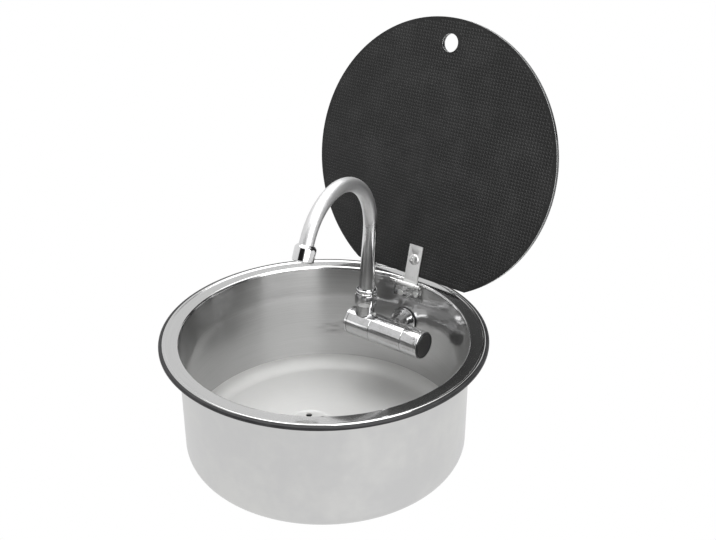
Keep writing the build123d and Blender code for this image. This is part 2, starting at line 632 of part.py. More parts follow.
arch = ThreePointArc(arch_point(0), arch_point(turn / 2), arch_point(turn))
outlet_way = Vector(0, -math.sin(turn), math.cos(turn))
arch_end = arch_point(turn)
aerator_start = arch_end + outlet_way * (OUTLET_RUN - AERATOR_LENGTH)
tube_end = aerator_start + outlet_way * AERATOR_OVERLAP
drop = Line(arch_end, tube_end)
centre_line = Wire([rise.edges()[0], arch.edges()[0], drop.edges()[0]])
start_plane = Plane(origin=(0, 0, TAPER_TOP_Z), z_dir=Z_WAY)
tube_in = TUBE_R - TUBE_WALL
tube = sweep(start_plane * Circle(TUBE_R), centre_line)
flange_foot_z, flange_top_z = FOOT_FLANGE_Z
foot_flange_r = SOCKET_THREAD_R - 0.4
tube += turned([
    (0, FOOT_BOTTOM_Z),
    (FOOT_R, FOOT_BOTTOM_Z),
    (FOOT_R, flange_foot_z),
    (foot_flange_r, flange_foot_z),
    (foot_flange_r, flange_top_z),
    (FOOT_R, flange_top_z),
    (FOOT_R, RING_SEAT_Z),
    (TUBE_BASE_R, RING_SEAT_Z),
    (TUBE_BASE_R, TUBE_BASE_TOP_Z),
    (TUBE_R, TAPER_TOP_Z),
    (0, TAPER_TOP_Z),
])
tube -= sweep(start_plane * Circle(tube_in), centre_line)
wide_bore_z = TUBE_BASE_TOP_Z - 2
tube -= rod(tube_in, wide_bore_z, TAPER_TOP_Z + 0.01)
tube -= rod(OUTLET_R, FOOT_BOTTOM_Z - 1, wide_bore_z)
foot_seal_zs = [FOOT_BOTTOM_Z + rise for rise in FOOT_SEAL_RISES]
for z in foot_seal_zs:
    tube -= ring(FOOT_R + 1, FOOT_SEAL_GROOVE_R, z - SEAL_GROOVE_HALF, z + SEAL_GROOVE_HALF)
save("spout_tube", spout * tube)
foot_seals = [Pos(0, 0, z) * Torus(FOOT_SEAL_R, SEAL_CORD_R) for z in foot_seal_zs]
save("spout_seals", spout * Compound(foot_seals))
foot_ring = ring(RING_R, FOOT_R, NUT_TOP_Z + TEE_GAP, RING_SEAT_Z)
foot_ring += ring(RING_R, TUBE_BASE_R, RING_SEAT_Z, RING_TOP_Z)
outer_edges = foot_ring.edges().filter_by(GeomType.CIRCLE).filter_by(
    lambda edge: edge.radius > RING_R - 0.01
)
foot_ring = chamfer(outer_edges, NUT_EDGE)
save("spout_foot_ring", spout * foot_ring)

# ---- Aerator at the end of the spout, drawn along the way the water leaves ----
outlet = spout * Plane(origin=aerator_start, z_dir=outlet_way, x_dir=(1, 0, 0)).location
insert_end = AERATOR_LENGTH - AERATOR_LIP_T
shell = turned([
    (TUBE_R, 0),
    (TUBE_R + 0.9, 0),
    (AERATOR_R - 0.3, AERATOR_SHOULDER),
    (AERATOR_R, AERATOR_SHOULDER + 0.9),
    (AERATOR_R, AERATOR_LENGTH - 1.4),
    (AERATOR_R - 0.5, AERATOR_LENGTH - 0.4),
    (AERATOR_R - 1.2, AERATOR_LENGTH),
    (AERATOR_LIP_R, AERATOR_LENGTH),
    (AERATOR_LIP_R, insert_end),
    (AERATOR_IN_R, insert_end),
    (AERATOR_IN_R, AERATOR_OVERLAP),
    (TUBE_R, AERATOR_OVERLAP),
])
save("aerator_shell", outlet * shell)
insert = rod(AERATOR_IN_R, AERATOR_INSERT_START, insert_end)
hole = rod(AERATOR_HOLE_R, AERATOR_INSERT_START - 1, insert_end + 1)
for count, pitch_r in AERATOR_RINGS:
    for index in range(count):
        insert -= Rot(0, 0, 360 / count * index) * Pos(pitch_r, 0, 0) * hole
save("aerator_insert", outlet * insert)
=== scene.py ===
import bmesh
import bpy
import math
from mathutils import Matrix, Vector


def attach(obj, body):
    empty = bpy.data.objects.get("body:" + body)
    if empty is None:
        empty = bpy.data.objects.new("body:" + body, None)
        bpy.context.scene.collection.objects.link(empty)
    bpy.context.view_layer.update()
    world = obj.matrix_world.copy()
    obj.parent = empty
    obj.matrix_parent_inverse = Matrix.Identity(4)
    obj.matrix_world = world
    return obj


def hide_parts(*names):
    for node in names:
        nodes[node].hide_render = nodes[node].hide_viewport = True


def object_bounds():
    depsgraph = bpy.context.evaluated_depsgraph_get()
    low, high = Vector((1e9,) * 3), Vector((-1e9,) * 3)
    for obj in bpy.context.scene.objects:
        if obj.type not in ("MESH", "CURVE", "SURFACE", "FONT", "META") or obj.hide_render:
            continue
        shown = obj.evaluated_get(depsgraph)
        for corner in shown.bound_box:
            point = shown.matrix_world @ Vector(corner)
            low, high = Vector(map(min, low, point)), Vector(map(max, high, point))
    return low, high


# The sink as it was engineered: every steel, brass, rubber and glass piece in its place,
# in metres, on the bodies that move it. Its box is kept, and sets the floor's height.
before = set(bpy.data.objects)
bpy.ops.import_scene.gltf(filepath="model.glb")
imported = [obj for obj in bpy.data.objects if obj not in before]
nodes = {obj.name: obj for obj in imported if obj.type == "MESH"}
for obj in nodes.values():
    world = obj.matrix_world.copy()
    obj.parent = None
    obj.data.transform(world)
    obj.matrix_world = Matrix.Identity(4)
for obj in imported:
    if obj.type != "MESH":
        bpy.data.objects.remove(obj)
cad_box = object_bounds()
bpy.ops.object.select_all(action="DESELECT")

# ---- Camera: it is held level, to the front right of the sink, and looks down at it by about 27
# degrees, as a product photographer would have it.
SENSOR_WIDTH, PICTURE_WIDTH, FOCAL_LENGTH = 36.0, 716, 1027.054
CAMERA_PLACE = (0.578925, -0.682805, 0.527641)
CAMERA_RIGHT = Vector((0.786821, 0.617181, -0.000318))
CAMERA_UP = Vector((-0.279416, 0.356677, 0.891464))
camera_data = bpy.data.cameras.new("camera")
camera_data.sensor_width = SENSOR_WIDTH
camera_data.lens = FOCAL_LENGTH * SENSOR_WIDTH / PICTURE_WIDTH
camera_data.clip_start = 0.05
camera = bpy.data.objects.new("camera", camera_data)
bpy.context.collection.objects.link(camera)
facing = Matrix((CAMERA_RIGHT, CAMERA_UP, CAMERA_RIGHT.cross(CAMERA_UP))).transposed()
camera.matrix_world = Matrix.Translation(CAMERA_PLACE) @ facing.to_4x4()
bpy.context.scene.camera = camera
bpy.context.scene.view_settings.view_transform = "Standard"

# ---- Floor: a plain pale sheet under the waste pipe. It looks white to the camera, in polished
# metal and through glass, and throws soft light up at the sink.
FLOOR_SIZE, FLOOR_GAP = 14, 0.0005
bpy.ops.mesh.primitive_plane_add(size=FLOOR_SIZE, location=(0, 0, cad_box[0][2] - FLOOR_GAP))
floor = bpy.context.object
floor.name = "floor"
floor_paint = bpy.data.materials.new("floor_paint")
floor_paint.use_nodes = True
floor_tree = floor_paint.node_tree
paint = floor_tree.nodes["Principled BSDF"]
paint.inputs["Base Color"].default_value = (0.95, 0.95, 0.95, 1)
paint.inputs["Roughness"].default_value = 1.0
paint.inputs["Specular IOR Level"].default_value = 0.0


def link_in(socket, value):
    """Gives an input a plain value, or joins it to the output that feeds it."""
    if isinstance(value, bpy.types.NodeSocket):
        socket.id_data.links.new(value, socket)
    else:
        socket.default_value = value


def calc(operation, first, second=0.0):
    """One sum on two outputs, or on an output and a number."""
    output = first if isinstance(first, bpy.types.NodeSocket) else second
    node = output.id_data.nodes.new("ShaderNodeMath")
    node.operation = operation
    link_in(node.inputs[0], first)
    link_in(node.inputs[1], second)
    return node.outputs[0]


def seen_directly(tree):
    """One where the eye, a mirror or clear glass looks straight at a surface, otherwise nought."""
    rays = tree.nodes.new("ShaderNodeLightPath").outputs
    mirrored = calc("MAXIMUM", rays["Is Camera Ray"], rays["Is Glossy Ray"])
    return calc("MAXIMUM", mirrored, rays["Is Transmission Ray"])


glow = floor_tree.nodes.new("ShaderNodeEmission")
whiten = floor_tree.nodes.new("ShaderNodeMixShader")
link_in(whiten.inputs[0], seen_directly(floor_tree))
link_in(whiten.inputs[1], paint.outputs[0])
link_in(whiten.inputs[2], glow.outputs[0])
link_in(floor_tree.nodes["Material Output"].inputs["Surface"], whiten.outputs[0])
floor.data.materials.append(floor_paint)

# ---- Studio: a white room with black cloths hung to two sides of the sink, which show only as
# mirror images in its metal and glass, and with soft boxes overhead and to the right.
studio = bpy.data.worlds.new("studio")
bpy.context.scene.world = studio
studio.use_nodes = True
room_tree = studio.node_tree
room = room_tree.nodes["Background"]


def between(value, low, high, to_low=0.0, to_high=1.0):
    """Turns a value between two limits smoothly into one between two others."""
    node = value.id_data.nodes.new("ShaderNodeMapRange")
    node.interpolation_type = "SMOOTHSTEP"
    for socket, number in zip(node.inputs, (value, low, high, to_low, to_high)):
        link_in(socket, number)
    return node.outputs["Result"]


def split(vector):
    """The three numbers of a vector."""
    node = vector.id_data.nodes.new("ShaderNodeSeparateXYZ")
    link_in(node.inputs[0], vector)
    return node.outputs


WHITE = (1, 1, 1, 1)
room.inputs["Color"].default_value = WHITE
# How bright the room is round the sink, in degrees from its right-hand side, anticlockwise.
ROUND_THE_ROOM = (
    (-112, 1.0), (-104, 0.02), (-58, 0.02), (-46, 1.0),
    (4, 1.0), (14, 0.05), (66, 0.05), (78, 1.0),
)
CLOTH_TOP, CLOTH_FADED, ROOM_LIGHT = 0.5, 0.75, 0.55
way_seen = room_tree.nodes.new("ShaderNodeTexCoord").outputs["Generated"]
heading = room_tree.nodes.new("ShaderNodeTexGradient")
heading.gradient_type = "RADIAL"
link_in(heading.inputs[0], way_seen)
cloths = room_tree.nodes.new("ShaderNodeValToRGB")
for end in cloths.color_ramp.elements:
    end.color = WHITE
for degrees, level in ROUND_THE_ROOM:
    cloths.color_ramp.elements.new(degrees / 360 + 0.5).color = (level, level, level, 1)
link_in(cloths.inputs[0], heading.outputs["Fac"])
below_top = between(split(way_seen)["Z"], CLOTH_TOP, CLOTH_FADED, 1, 0)
mirrored = room_tree.nodes.new("ShaderNodeLightPath").outputs["Is Glossy Ray"]
darkness = calc("SUBTRACT", 1.0, cloths.outputs["Color"])
dimming = calc("MULTIPLY", calc("MULTIPLY", darkness, below_top), mirrored)
white = between(seen_directly(room_tree), 0, 1, ROOM_LIGHT, 1.0)
link_in(room.inputs["Strength"], calc("MULTIPLY", white, calc("SUBTRACT", 1.0, dimming)))
SOFT_BOXES = (
    ("overhead", (-0.15, 0.15, 1.5), 1.6, 26),
    ("side", (1.2, -0.46, 0.5), 1.2, 17),
)
for name, place, side, watts in SOFT_BOXES:
    lamp_data = bpy.data.lights.new(name, "AREA")
    lamp_data.shape = "RECTANGLE"
    lamp_data.size = lamp_data.size_y = side
    lamp_data.energy = watts
    lamp = bpy.data.objects.new(name, lamp_data)
    bpy.context.collection.objects.link(lamp)
    lamp.location = place
    lamp.rotation_euler = (-lamp.location).to_track_quat("-Z", "Y").to_euler()

# ---- Bowl: one round blank of 0.8 mm stainless sheet, deep drawn and spun. Its wall turns out
# into a flat ledge that the lid lies on, and ends in a raised lip that is hemmed over the seal.
SHEET = 0.0008
BOWL_R = 0.1465
WALL_R = BOWL_R - SHEET
FLOOR_TOP = -0.1272
CORNER_IN, CORNER_OUT = 0.0144, 0.0152
LEDGE_TOP = 0.00325
BEND_IN, BEND_OUT = 0.0018, 0.0026
LEDGE_OUT_R = 0.1584
LIP_FOOT_R, LIP_R, LIP_TOP = 0.1597, 0.162, 0.0044
HEM_FOOT = 0.0015
BOWL_SIDES = 256
WASTE = Vector((-0.0281, 0.0049, 0))
RECESS_R, RECESS_TOP_R, RECESS_DEPTH = 0.029, 0.0302, 0.0011
RECESS_JOIN_R = RECESS_TOP_R + 0.0015
WASTE_HOLE_R, SHANK_HOLE_R, LEAF_HOLE_R = 0.0235, 0.0085, 0.0022
FLOOR_JOIN_R = 0.08
SAME_SPOT, HAIR = 0.000004, 0.00001


def take_all():
    """Selects the whole mesh, in edit mode."""
    bpy.ops.object.mode_set(mode="EDIT")
    bpy.ops.mesh.select_all(action="SELECT")


def smooth(degrees):
    """Shades the active piece smoothly, apart from edges sharper than an angle."""
    bpy.ops.object.shade_smooth_by_angle(angle=math.radians(degrees))


def turned(degrees, axis):
    """A turn about an axis."""
    return Matrix.Rotation(math.radians(degrees), 4, axis)


def pick(kind, test):
    """Selects, in edit mode, the vertices, edges or faces whose middle passes a test."""
    bpy.ops.mesh.select_mode(type=kind)
    bpy.ops.mesh.select_all(action="DESELECT")
    mesh = bpy.context.object.data
    shape = bmesh.from_edit_mesh(mesh)
    parts = {"VERT": shape.verts, "EDGE": shape.edges, "FACE": shape.faces}[kind]
    for part in parts:
        if kind == "VERT":
            middle = part.co
        else:
            middle = sum((corner.co for corner in part.verts), Vector()) / len(part.verts)
        part.select_set(bool(test(middle)))
    shape.select_flush_mode()
    bmesh.update_edit_mesh(mesh)


def turn(outline, sides, closed=True):
    """Starts a turned piece, in edit mode: (radius, height, rounding) points spun about z."""
    bpy.ops.mesh.primitive_plane_add(size=0.001)
    bpy.ops.object.mode_set(mode="EDIT")
    bpy.ops.mesh.select_mode(type="VERT")
    take_all()
    bpy.ops.mesh.merge(type="CENTER")
    points = [Vector((point[0], 0, point[1])) for point in outline]
    bpy.ops.transform.translate(value=points[0])
    following = points[1:] + points[:1] if closed else points[1:]
    for near, far in zip(points, following):
        bpy.ops.mesh.extrude_vertices_move(TRANSFORM_OT_translate={"value": far - near})
    take_all()
    bpy.ops.mesh.remove_doubles(threshold=SAME_SPOT)
    for point, place in zip(outline, points):
        if len(point) < 3:
            continue
        pick("VERT", lambda spot: (spot - place).length < SAME_SPOT)
        steps = max(3, int(point[2] * 900))
        bpy.ops.mesh.bevel(offset=point[2], segments=steps, affect="VERTICES", clamp_overlap=False)
    take_all()
    bpy.ops.mesh.spin(
        steps=sides, angle=math.tau, center=(0, 0, 0), axis=(0, 0, 1), use_auto_merge=False)
    take_all()
    bpy.ops.mesh.remove_doubles(threshold=SAME_SPOT)
    return bpy.context.object


def settle(name, place=Matrix(), crease=35):
    """Ends edit mode with faces outwards, and puts the piece's place into its mesh."""
    take_all()
    bpy.ops.mesh.remove_doubles(threshold=SAME_SPOT / 2)
    bpy.ops.mesh.normals_make_consistent()
    bpy.ops.object.mode_set(mode="OBJECT")
    piece = bpy.context.object
    piece.name = name
    piece.matrix_world = place @ piece.matrix_world
    bpy.ops.object.transform_apply()
    smooth(crease)
    return piece


def join(name, *parts):
    """Makes one mesh of several parts."""
    bpy.ops.object.select_all(action="DESELECT")
    for part in parts:
        part.select_set(True)
    bpy.context.view_layer.objects.active = parts[0]
    bpy.ops.object.join()
    parts[0].name = name
    return parts[0]


def drill(piece, radius, start, end, sides=48):
    """Cuts a round hole through a piece between two points."""
    middle, run = (start + end) / 2, end - start
    bpy.ops.mesh.primitive_cylinder_add(vertices=sides, radius=radius, depth=run.length, location=middle)
    bit = bpy.context.object
    bit.rotation_mode = "QUATERNION"
    bit.rotation_quaternion = run.to_track_quat("Z", "Y")
    cut(piece, bit)


def cut(piece, bit):
    """Takes one solid away from another."""
    bpy.ops.object.select_all(action="DESELECT")
    piece.select_set(True)
    bpy.context.view_layer.objects.active = piece
    taking = piece.modifiers.new("cut", "BOOLEAN")
    taking.operation = "DIFFERENCE"
    taking.solver = "EXACT"
    taking.object = bit
    bpy.ops.object.modifier_apply(modifier="cut")
    bpy.data.objects.remove(bit)


basin = turn([
    (FLOOR_JOIN_R, FLOOR_TOP),
    (WALL_R, FLOOR_TOP, CORNER_IN),
    (WALL_R, LEDGE_TOP, BEND_OUT),
    (LEDGE_OUT_R, LEDGE_TOP, 0.0008),
    (LIP_FOOT_R, LIP_TOP, 0.0008),
    (LIP_R, LIP_TOP, 0.0012),
    (LIP_R, HEM_FOOT, 0.0003),
    (LIP_R - SHEET, HEM_FOOT, 0.0003),
    (LIP_R - SHEET, LIP_TOP - SHEET, 0.0004),
    (LIP_FOOT_R, LIP_TOP - SHEET, 0.0006),
    (LEDGE_OUT_R, LEDGE_TOP - SHEET, 0.0006),
    (BOWL_R, LEDGE_TOP - SHEET, BEND_IN),
    (BOWL_R, FLOOR_TOP - SHEET, CORNER_OUT),
    (FLOOR_JOIN_R, FLOOR_TOP - SHEET),
], BOWL_SIDES, closed=False)
bpy.ops.object.mode_set(mode="OBJECT")
recess = turn([
    (RECESS_JOIN_R, FLOOR_TOP),
    (RECESS_TOP_R, FLOOR_TOP, 0.0005),
    (RECESS_R, FLOOR_TOP - RECESS_DEPTH, 0.0005),
    (WASTE_HOLE_R, FLOOR_TOP - RECESS_DEPTH),
    (WASTE_HOLE_R, FLOOR_TOP - RECESS_DEPTH - SHEET),
    (RECESS_R - SHEET / 4, FLOOR_TOP - RECESS_DEPTH - SHEET, 0.0005),
    (RECESS_TOP_R - SHEET / 4, FLOOR_TOP - SHEET, 0.0005),
    (RECESS_JOIN_R, FLOOR_TOP - SHEET),
], BOWL_SIDES, closed=False)
bpy.ops.transform.translate(value=WASTE)
bpy.ops.object.mode_set(mode="OBJECT")
bowl = join("drawn_bowl", basin, recess)
bpy.ops.object.mode_set(mode="EDIT")
for level in (FLOOR_TOP, FLOOR_TOP - SHEET):
    pick("EDGE", lambda spot: abs(spot.z - level) < HAIR and (
        abs(spot.xy.length - FLOOR_JOIN_R) < 0.0001
        or abs((spot - WASTE).xy.length - RECESS_JOIN_R) < 0.0001))
    bpy.ops.mesh.fill()
settle("drawn_bowl", crease=40)
TAP_TURN, TAP_BACK, TAP_DOWN = 1.4, 0.11, 0.0488
tap_place = turned(TAP_TURN, "Z") @ Matrix.Translation((0, TAP_BACK, -TAP_DOWN))
drill(bowl, SHANK_HOLE_R, tap_place @ Vector((0, 0.02, 0)), tap_place @ Vector((0, 0.05, 0)))
LEAF_SCREWS = ((-0.0096, -0.0154), (0.011, -0.0114))
leaf_screw_ways = []
for x, z in LEAF_SCREWS:
    out = Vector((x, math.sqrt(WALL_R**2 - x**2), 0)).normalized()
    start = Vector((out.x * WALL_R, out.y * WALL_R, z))
    leaf_screw_ways.append((start, out))
    drill(bowl, LEAF_HOLE_R, start - out * 0.006, start + out * 0.006, 24)
smooth(40)


def effect(name, count_label, count, *made_labels):
    """Starts a shader node group that makes numbers from a place and a count per metre."""
    group = bpy.data.node_groups.new(name, "ShaderNodeTree")
    sockets = group.interface
    sockets.new_socket("Place", in_out="INPUT", socket_type="NodeSocketVector")
    counter = sockets.new_socket(count_label, in_out="INPUT", socket_type="NodeSocketFloat")
    counter.default_value = count
    for label in made_labels:
        sockets.new_socket(label, in_out="OUTPUT", socket_type="NodeSocketFloat")
    start = group.nodes.new("NodeGroupInput")
    end = group.nodes.new("NodeGroupOutput")
    return group, start.outputs, end.inputs


def cloud(place, scale, detail=2.0, roughness=0.5):
    """Soft three-dimensional noise at so many patches per metre."""
    node = place.id_data.nodes.new("ShaderNodeTexNoise")
    given = {"Vector": place, "Scale": scale, "Detail": detail, "Roughness": roughness}
    for label, value in given.items():
        link_in(node.inputs[label], value)
    return node.outputs[0]


# Polishing lines run round the axis, closer together than they are long. Radius less height
# counts across them on the floor, up the wall and over the ledge alike.
ALONG_LINES = 14
polish, given, made = effect("polish_lines", "Lines", 1500.0, "Value")
across = split(given["Place"])
squares = [calc("MULTIPLY", across[i], across[i]) for i in (0, 1)]
radius = calc("SQRT", calc("ADD", *squares))
lines_place = polish.nodes.new("ShaderNodeCombineXYZ")
link_in(lines_place.inputs[0], calc("MULTIPLY", across[0], ALONG_LINES))
link_in(lines_place.inputs[1], calc("MULTIPLY", across[1], ALONG_LINES))
link_in(lines_place.inputs[2], calc("MULTIPLY", calc("SUBTRACT", radius, across[2]), given["Lines"]))
link_in(made["Value"], cloud(lines_place.outputs[0], 1.0, 4.0, 0.6))

# Faint smears and water marks that dry on any hard surface.
smears, given, made = effect("smears", "Patches", 40.0, "Value")
wide = cloud(given["Place"], given["Patches"], 3.0, 0.6)
fine = cloud(given["Place"], calc("MULTIPLY", given["Patches"], 7.3), 2.0, 0.5)
both = calc("ADD", calc("MULTIPLY", wide, 0.75), calc("MULTIPLY", fine, 0.25))
link_in(made["Value"], between(both, 0.35, 0.7))


def finish(name, colour, metallic, roughness):
    """Starts a material; returns it, its shader and its place on the object."""
    material = bpy.data.materials.new(name)
    material.use_nodes = True
    tree = material.node_tree
    shader = tree.nodes["Principled BSDF"]
    plain = {"Base Color": (*colour, 1), "Metallic": metallic, "Roughness": roughness}
    for label, value in plain.items():
        shader.inputs[label].default_value = value
    place = tree.nodes.new("ShaderNodeTexCoord").outputs["Object"]
    return material, shader, place


def apply_effect(group, place, count):
    """Places an effect in a material, with its count per metre, and gives its outputs."""
    node = place.id_data.nodes.new("ShaderNodeGroup")
    node.node_tree = group
    link_in(node.inputs[0], place)
    link_in(node.inputs[1], count)
    return node.outputs


def relief(shader, height, depth):
    """Turns a height into a bump on the surface."""
    node = shader.id_data.nodes.new("ShaderNodeBump")
    node.inputs["Distance"].default_value = depth
    link_in(node.inputs["Height"], height)
    link_in(shader.inputs["Normal"], node.outputs[0])


def smeared(place, patches):
    """A mask of smears at so many patches per metre."""
    return apply_effect(smears, place, patches)["Value"]


def colour_by(shader, share, first, second):
    """Takes the base colour from a mask, between two colours."""
    node = shader.id_data.nodes.new("ShaderNodeMix")
    node.data_type = "RGBA"
    link_in(node.inputs[0], share)
    link_in(node.inputs[6], (*first, 1))
    link_in(node.inputs[7], (*second, 1))
    link_in(shader.inputs["Base Color"], node.outputs[2])


def dull_by(shader, base, *masks):
    """Takes the roughness from a base and from masks, each times its share."""
    for mask, share in masks:
        base = calc("ADD", calc("MULTIPLY", mask, share), base)
    link_in(shader.inputs["Roughness"], base)


def brushed(shader, amount, **way):
    """Draws the mirror images out across the polishing marks, which run along a tangent."""
    tangent = shader.id_data.nodes.new("ShaderNodeTangent")
    for label, value in way.items():
        setattr(tangent, label, value)
    link_in(shader.inputs["Tangent"], tangent.outputs[0])
    shader.inputs["Anisotropic"].default_value = amount


brushed_wall, shader, place = finish("brushed_wall", (0.56, 0.56, 0.555), 1.0, 0.26)
lines = apply_effect(polish, place, 1700.0)
marks = smeared(place, 22.0)
on_wall = between(split(place)[2], -0.001, 0.0025, 0.26, 0.1)
dull_by(shader, on_wall, (lines["Value"], 0.06), (marks, 0.03))
colour_by(shader, lines["Value"], (0.25, 0.25, 0.248), (0.36, 0.36, 0.357))
relief(shader, lines["Value"], 0.000003)
brushed(shader, 1.0, direction_type="RADIAL", axis="Z")
shader.inputs["Anisotropic Rotation"].default_value = 0.25
shader.inputs["Coat Weight"].default_value = 1.0
shader.inputs["Coat Roughness"].default_value = 0.08
shader.inputs["Coat IOR"].default_value = 3.4

matt_floor, shader, place = finish("matt_floor", (0.7, 0.7, 0.69), 0.75, 0.7)
lines = apply_effect(polish, place, 1300.0)
marks = smeared(place, 30.0)
dull_by(shader, 0.62, (lines["Value"], 0.12), (marks, 0.05))
colour_by(shader, lines["Value"], (0.58, 0.58, 0.575), (0.65, 0.65, 0.64))
relief(shader, lines["Value"], 0.00002)

drawn_outside, shader, place = finish("drawn_outside", (0.6, 0.6, 0.6), 1.0, 0.4)
lines = apply_effect(polish, place, 900.0)
marks = smeared(place, 14.0)
dull_by(shader, 0.3, (lines["Value"], 0.1), (marks, 0.08))
colour_by(shader, marks, (0.57, 0.57, 0.57), (0.63, 0.63, 0.62))
relief(shader, lines["Value"], 0.00001)
for material in (brushed_wall, matt_floor, drawn_outside):
    bowl.data.materials.append(material)
FLOOR_FINISH, OUTSIDE_FINISH = 1, 2
FACES_OUT, FACES_DOWN, CORNER_SHARE = 0.002, -0.2, 0.98
for face in bowl.data.polygons:
    away = face.normal.x * face.center.x + face.normal.y * face.center.y
    low_side = face.center.z < LEDGE_TOP - SHEET / 2
    if low_side and (away > FACES_OUT or face.normal.z < FACES_DOWN):
        face.material_index = OUTSIDE_FINISH
    elif face.center.z < FLOOR_TOP + CORNER_IN * CORNER_SHARE:
        face.material_index = FLOOR_FINISH
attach(bowl, "sink")
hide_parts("bowl")

# ---- Rim seal: a moulded EPDM rubber ring, clipped over the hem of the lip. Its foot lies on the
# worktop, with a shallow groove round it.
SEAL_IN_R, SEAL_OUT_R, SEAL_TOP = 0.1495, 0.1653, 0.0037
SEAL_FOOT = 0.0
SEAL_SEAT = LEDGE_TOP - SHEET - 0.00002
turn([
    (SEAL_IN_R, 0.0004, 0.0002),
    (SEAL_IN_R + 0.002, SEAL_FOOT, 0.0003),
    (SEAL_IN_R + 0.0035, SEAL_FOOT, 0.0002),
    (SEAL_IN_R + 0.0045, 0.0005, 0.0002),
    (SEAL_IN_R + 0.0085, 0.0005, 0.0002),
    (SEAL_IN_R + 0.0095, SEAL_FOOT, 0.0002),
    (SEAL_OUT_R - 0.0006, SEAL_FOOT, 0.0003),
    (SEAL_OUT_R, 0.0007, 0.0003),
    (SEAL_OUT_R, SEAL_TOP, 0.0014),
    (LIP_R + 0.00006, SEAL_TOP, 0.0003),
    (LIP_R + 0.00006, HEM_FOOT - 0.0004),
    (LIP_R - SHEET - 0.0001, HEM_FOOT - 0.0004),
    (LIP_R - SHEET - 0.0001, SEAL_SEAT - 0.0003),
    (LIP_FOOT_R - 0.0018, SEAL_SEAT),
    (SEAL_IN_R, SEAL_SEAT, 0.0003),
], BOWL_SIDES)
rim_seal = settle("rim_seal_ring")

# Moulded rubber and plastic have a fine grain with grey dust in it.
mould, given, made = effect("moulded_grain", "Grains", 2500.0, "Height", "Dust")
link_in(made["Height"], cloud(given["Place"], given["Grains"], 3.0, 0.6))
dust_wide = cloud(given["Place"], 35.0, 2.0, 0.5)
dust_fine = cloud(given["Place"], calc("MULTIPLY", given["Grains"], 0.4), 2.0, 0.7)
link_in(made["Dust"], calc("MULTIPLY", between(dust_wide, 0.4, 0.75), dust_fine))

black_rubber, shader, place = finish("black_rubber", (0.008, 0.008, 0.009), 0.0, 0.5)
grain = apply_effect(mould, place, 3000.0)
colour_by(shader, grain["Dust"], (0.007, 0.007, 0.008), (0.035, 0.035, 0.036))
dull_by(shader, 0.42, (grain["Dust"], 0.25))
relief(shader, grain["Height"], 0.00004)
shader.inputs["Specular IOR Level"].default_value = 0.35


def wear(piece, material):
    """Gives a piece or a CAD node its only material."""
    piece.data.materials.clear()
    piece.data.materials.append(material)


wear(rim_seal, black_rubber)
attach(rim_seal, "sink")
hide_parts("rim_seal")

# ---- Waste strainer: a pressed stainless plate with thirteen rounded holes and a slotted screw
# that draws the waste cup up against the bowl.
STRAINER_R, STRAINER_T = 0.0262, 0.001
STRAINER_HOLE_R, SOFT_EDGE = 0.0034, 0.00022
STRAINER_RINGS = ((8, 0.0205, 130.5), (5, 0.011, 90.0))
SCREW_R = 0.003
strainer = turn([
    (SCREW_R + 0.0001, 0.0),
    (STRAINER_R, 0.0, 0.0002),
    (STRAINER_R, STRAINER_T, 0.0005),
    (0.0085, STRAINER_T, 0.0008),
    (0.0075, STRAINER_T - 0.0002, 0.0008),
    (SCREW_R + 0.0001, STRAINER_T - 0.0002),
], 96)
settle("strainer_plate")


def round_edges(piece, width, segments, degrees):
    """Rounds the edges of a piece that are sharper than an angle."""
    edges = piece.modifiers.new("edges", "BEVEL")
    edges.width = width
    edges.segments = segments
    edges.limit_method = "ANGLE"
    edges.angle_limit = math.radians(degrees)
    bpy.ops.object.modifier_apply(modifier="edges")


def set_down(piece, place):
    """Puts a piece's place into its mesh."""
    piece.matrix_world = place
    bpy.ops.object.transform_apply()


for count, pitch_r, first in STRAINER_RINGS:
    for index in range(count):
        angle = math.radians(first + 360 / count * index)
        centre = Vector((pitch_r * math.cos(angle), pitch_r * math.sin(angle), 0))
        below, above = centre - Vector((0, 0, 0.002)), centre + Vector((0, 0, 0.003))
        drill(strainer, STRAINER_HOLE_R, below, above, 32)
round_edges(strainer, SOFT_EDGE, 3, 50)
strainer_place = Matrix.Translation(WASTE + Vector((0, 0, FLOOR_TOP - RECESS_DEPTH)))
set_down(strainer, strainer_place)
smooth(35)

satin_steel, shader, place = finish("satin_steel", (0.66, 0.66, 0.655), 1.0, 0.3)
marks = smeared(place, 120.0)
stretch = place.id_data.nodes.new("ShaderNodeVectorMath")
stretch.operation = "MULTIPLY"
stretch.inputs[1].default_value = (2600, 300, 300)
link_in(stretch.inputs[0], place)
rolled = cloud(stretch.outputs[0], 1.0, 3.0)
colour_by(shader, rolled, (0.62, 0.62, 0.615), (0.76, 0.76, 0.755))
dull_by(shader, 0.24, (rolled, 0.1), (marks, 0.08))
relief(shader, rolled, 0.000002)
wear(strainer, matt_floor)
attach(strainer, "sink")
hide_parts("waste_strainer")

WASTE_SCREW_HEAD_R, WASTE_SCREW_FOOT, WASTE_SCREW_TOP = 0.0055, -0.0171, 0.0028
waste_screw = turn([
    (0.0, WASTE_SCREW_FOOT),
    (SCREW_R - 0.0004, WASTE_SCREW_FOOT, 0.0003),
    (SCREW_R - 0.00005, WASTE_SCREW_FOOT + 0.001),
    (SCREW_R - 0.00005, STRAINER_T),
    (WASTE_SCREW_HEAD_R, STRAINER_T, 0.0002),
    (WASTE_SCREW_HEAD_R, STRAINER_T + 0.0006, 0.0004),
    (0.003, WASTE_SCREW_TOP, 0.0018),
    (0.0, WASTE_SCREW_TOP),
], 64)
settle("waste_screw_turned")


def block(size, centre, heading=0.0):
    """A box of three sizes, turned about the upright."""
    bpy.ops.mesh.primitive_cube_add(size=1, location=centre, rotation=(0, 0, heading))
    box = bpy.context.object
    box.scale = size
    return box


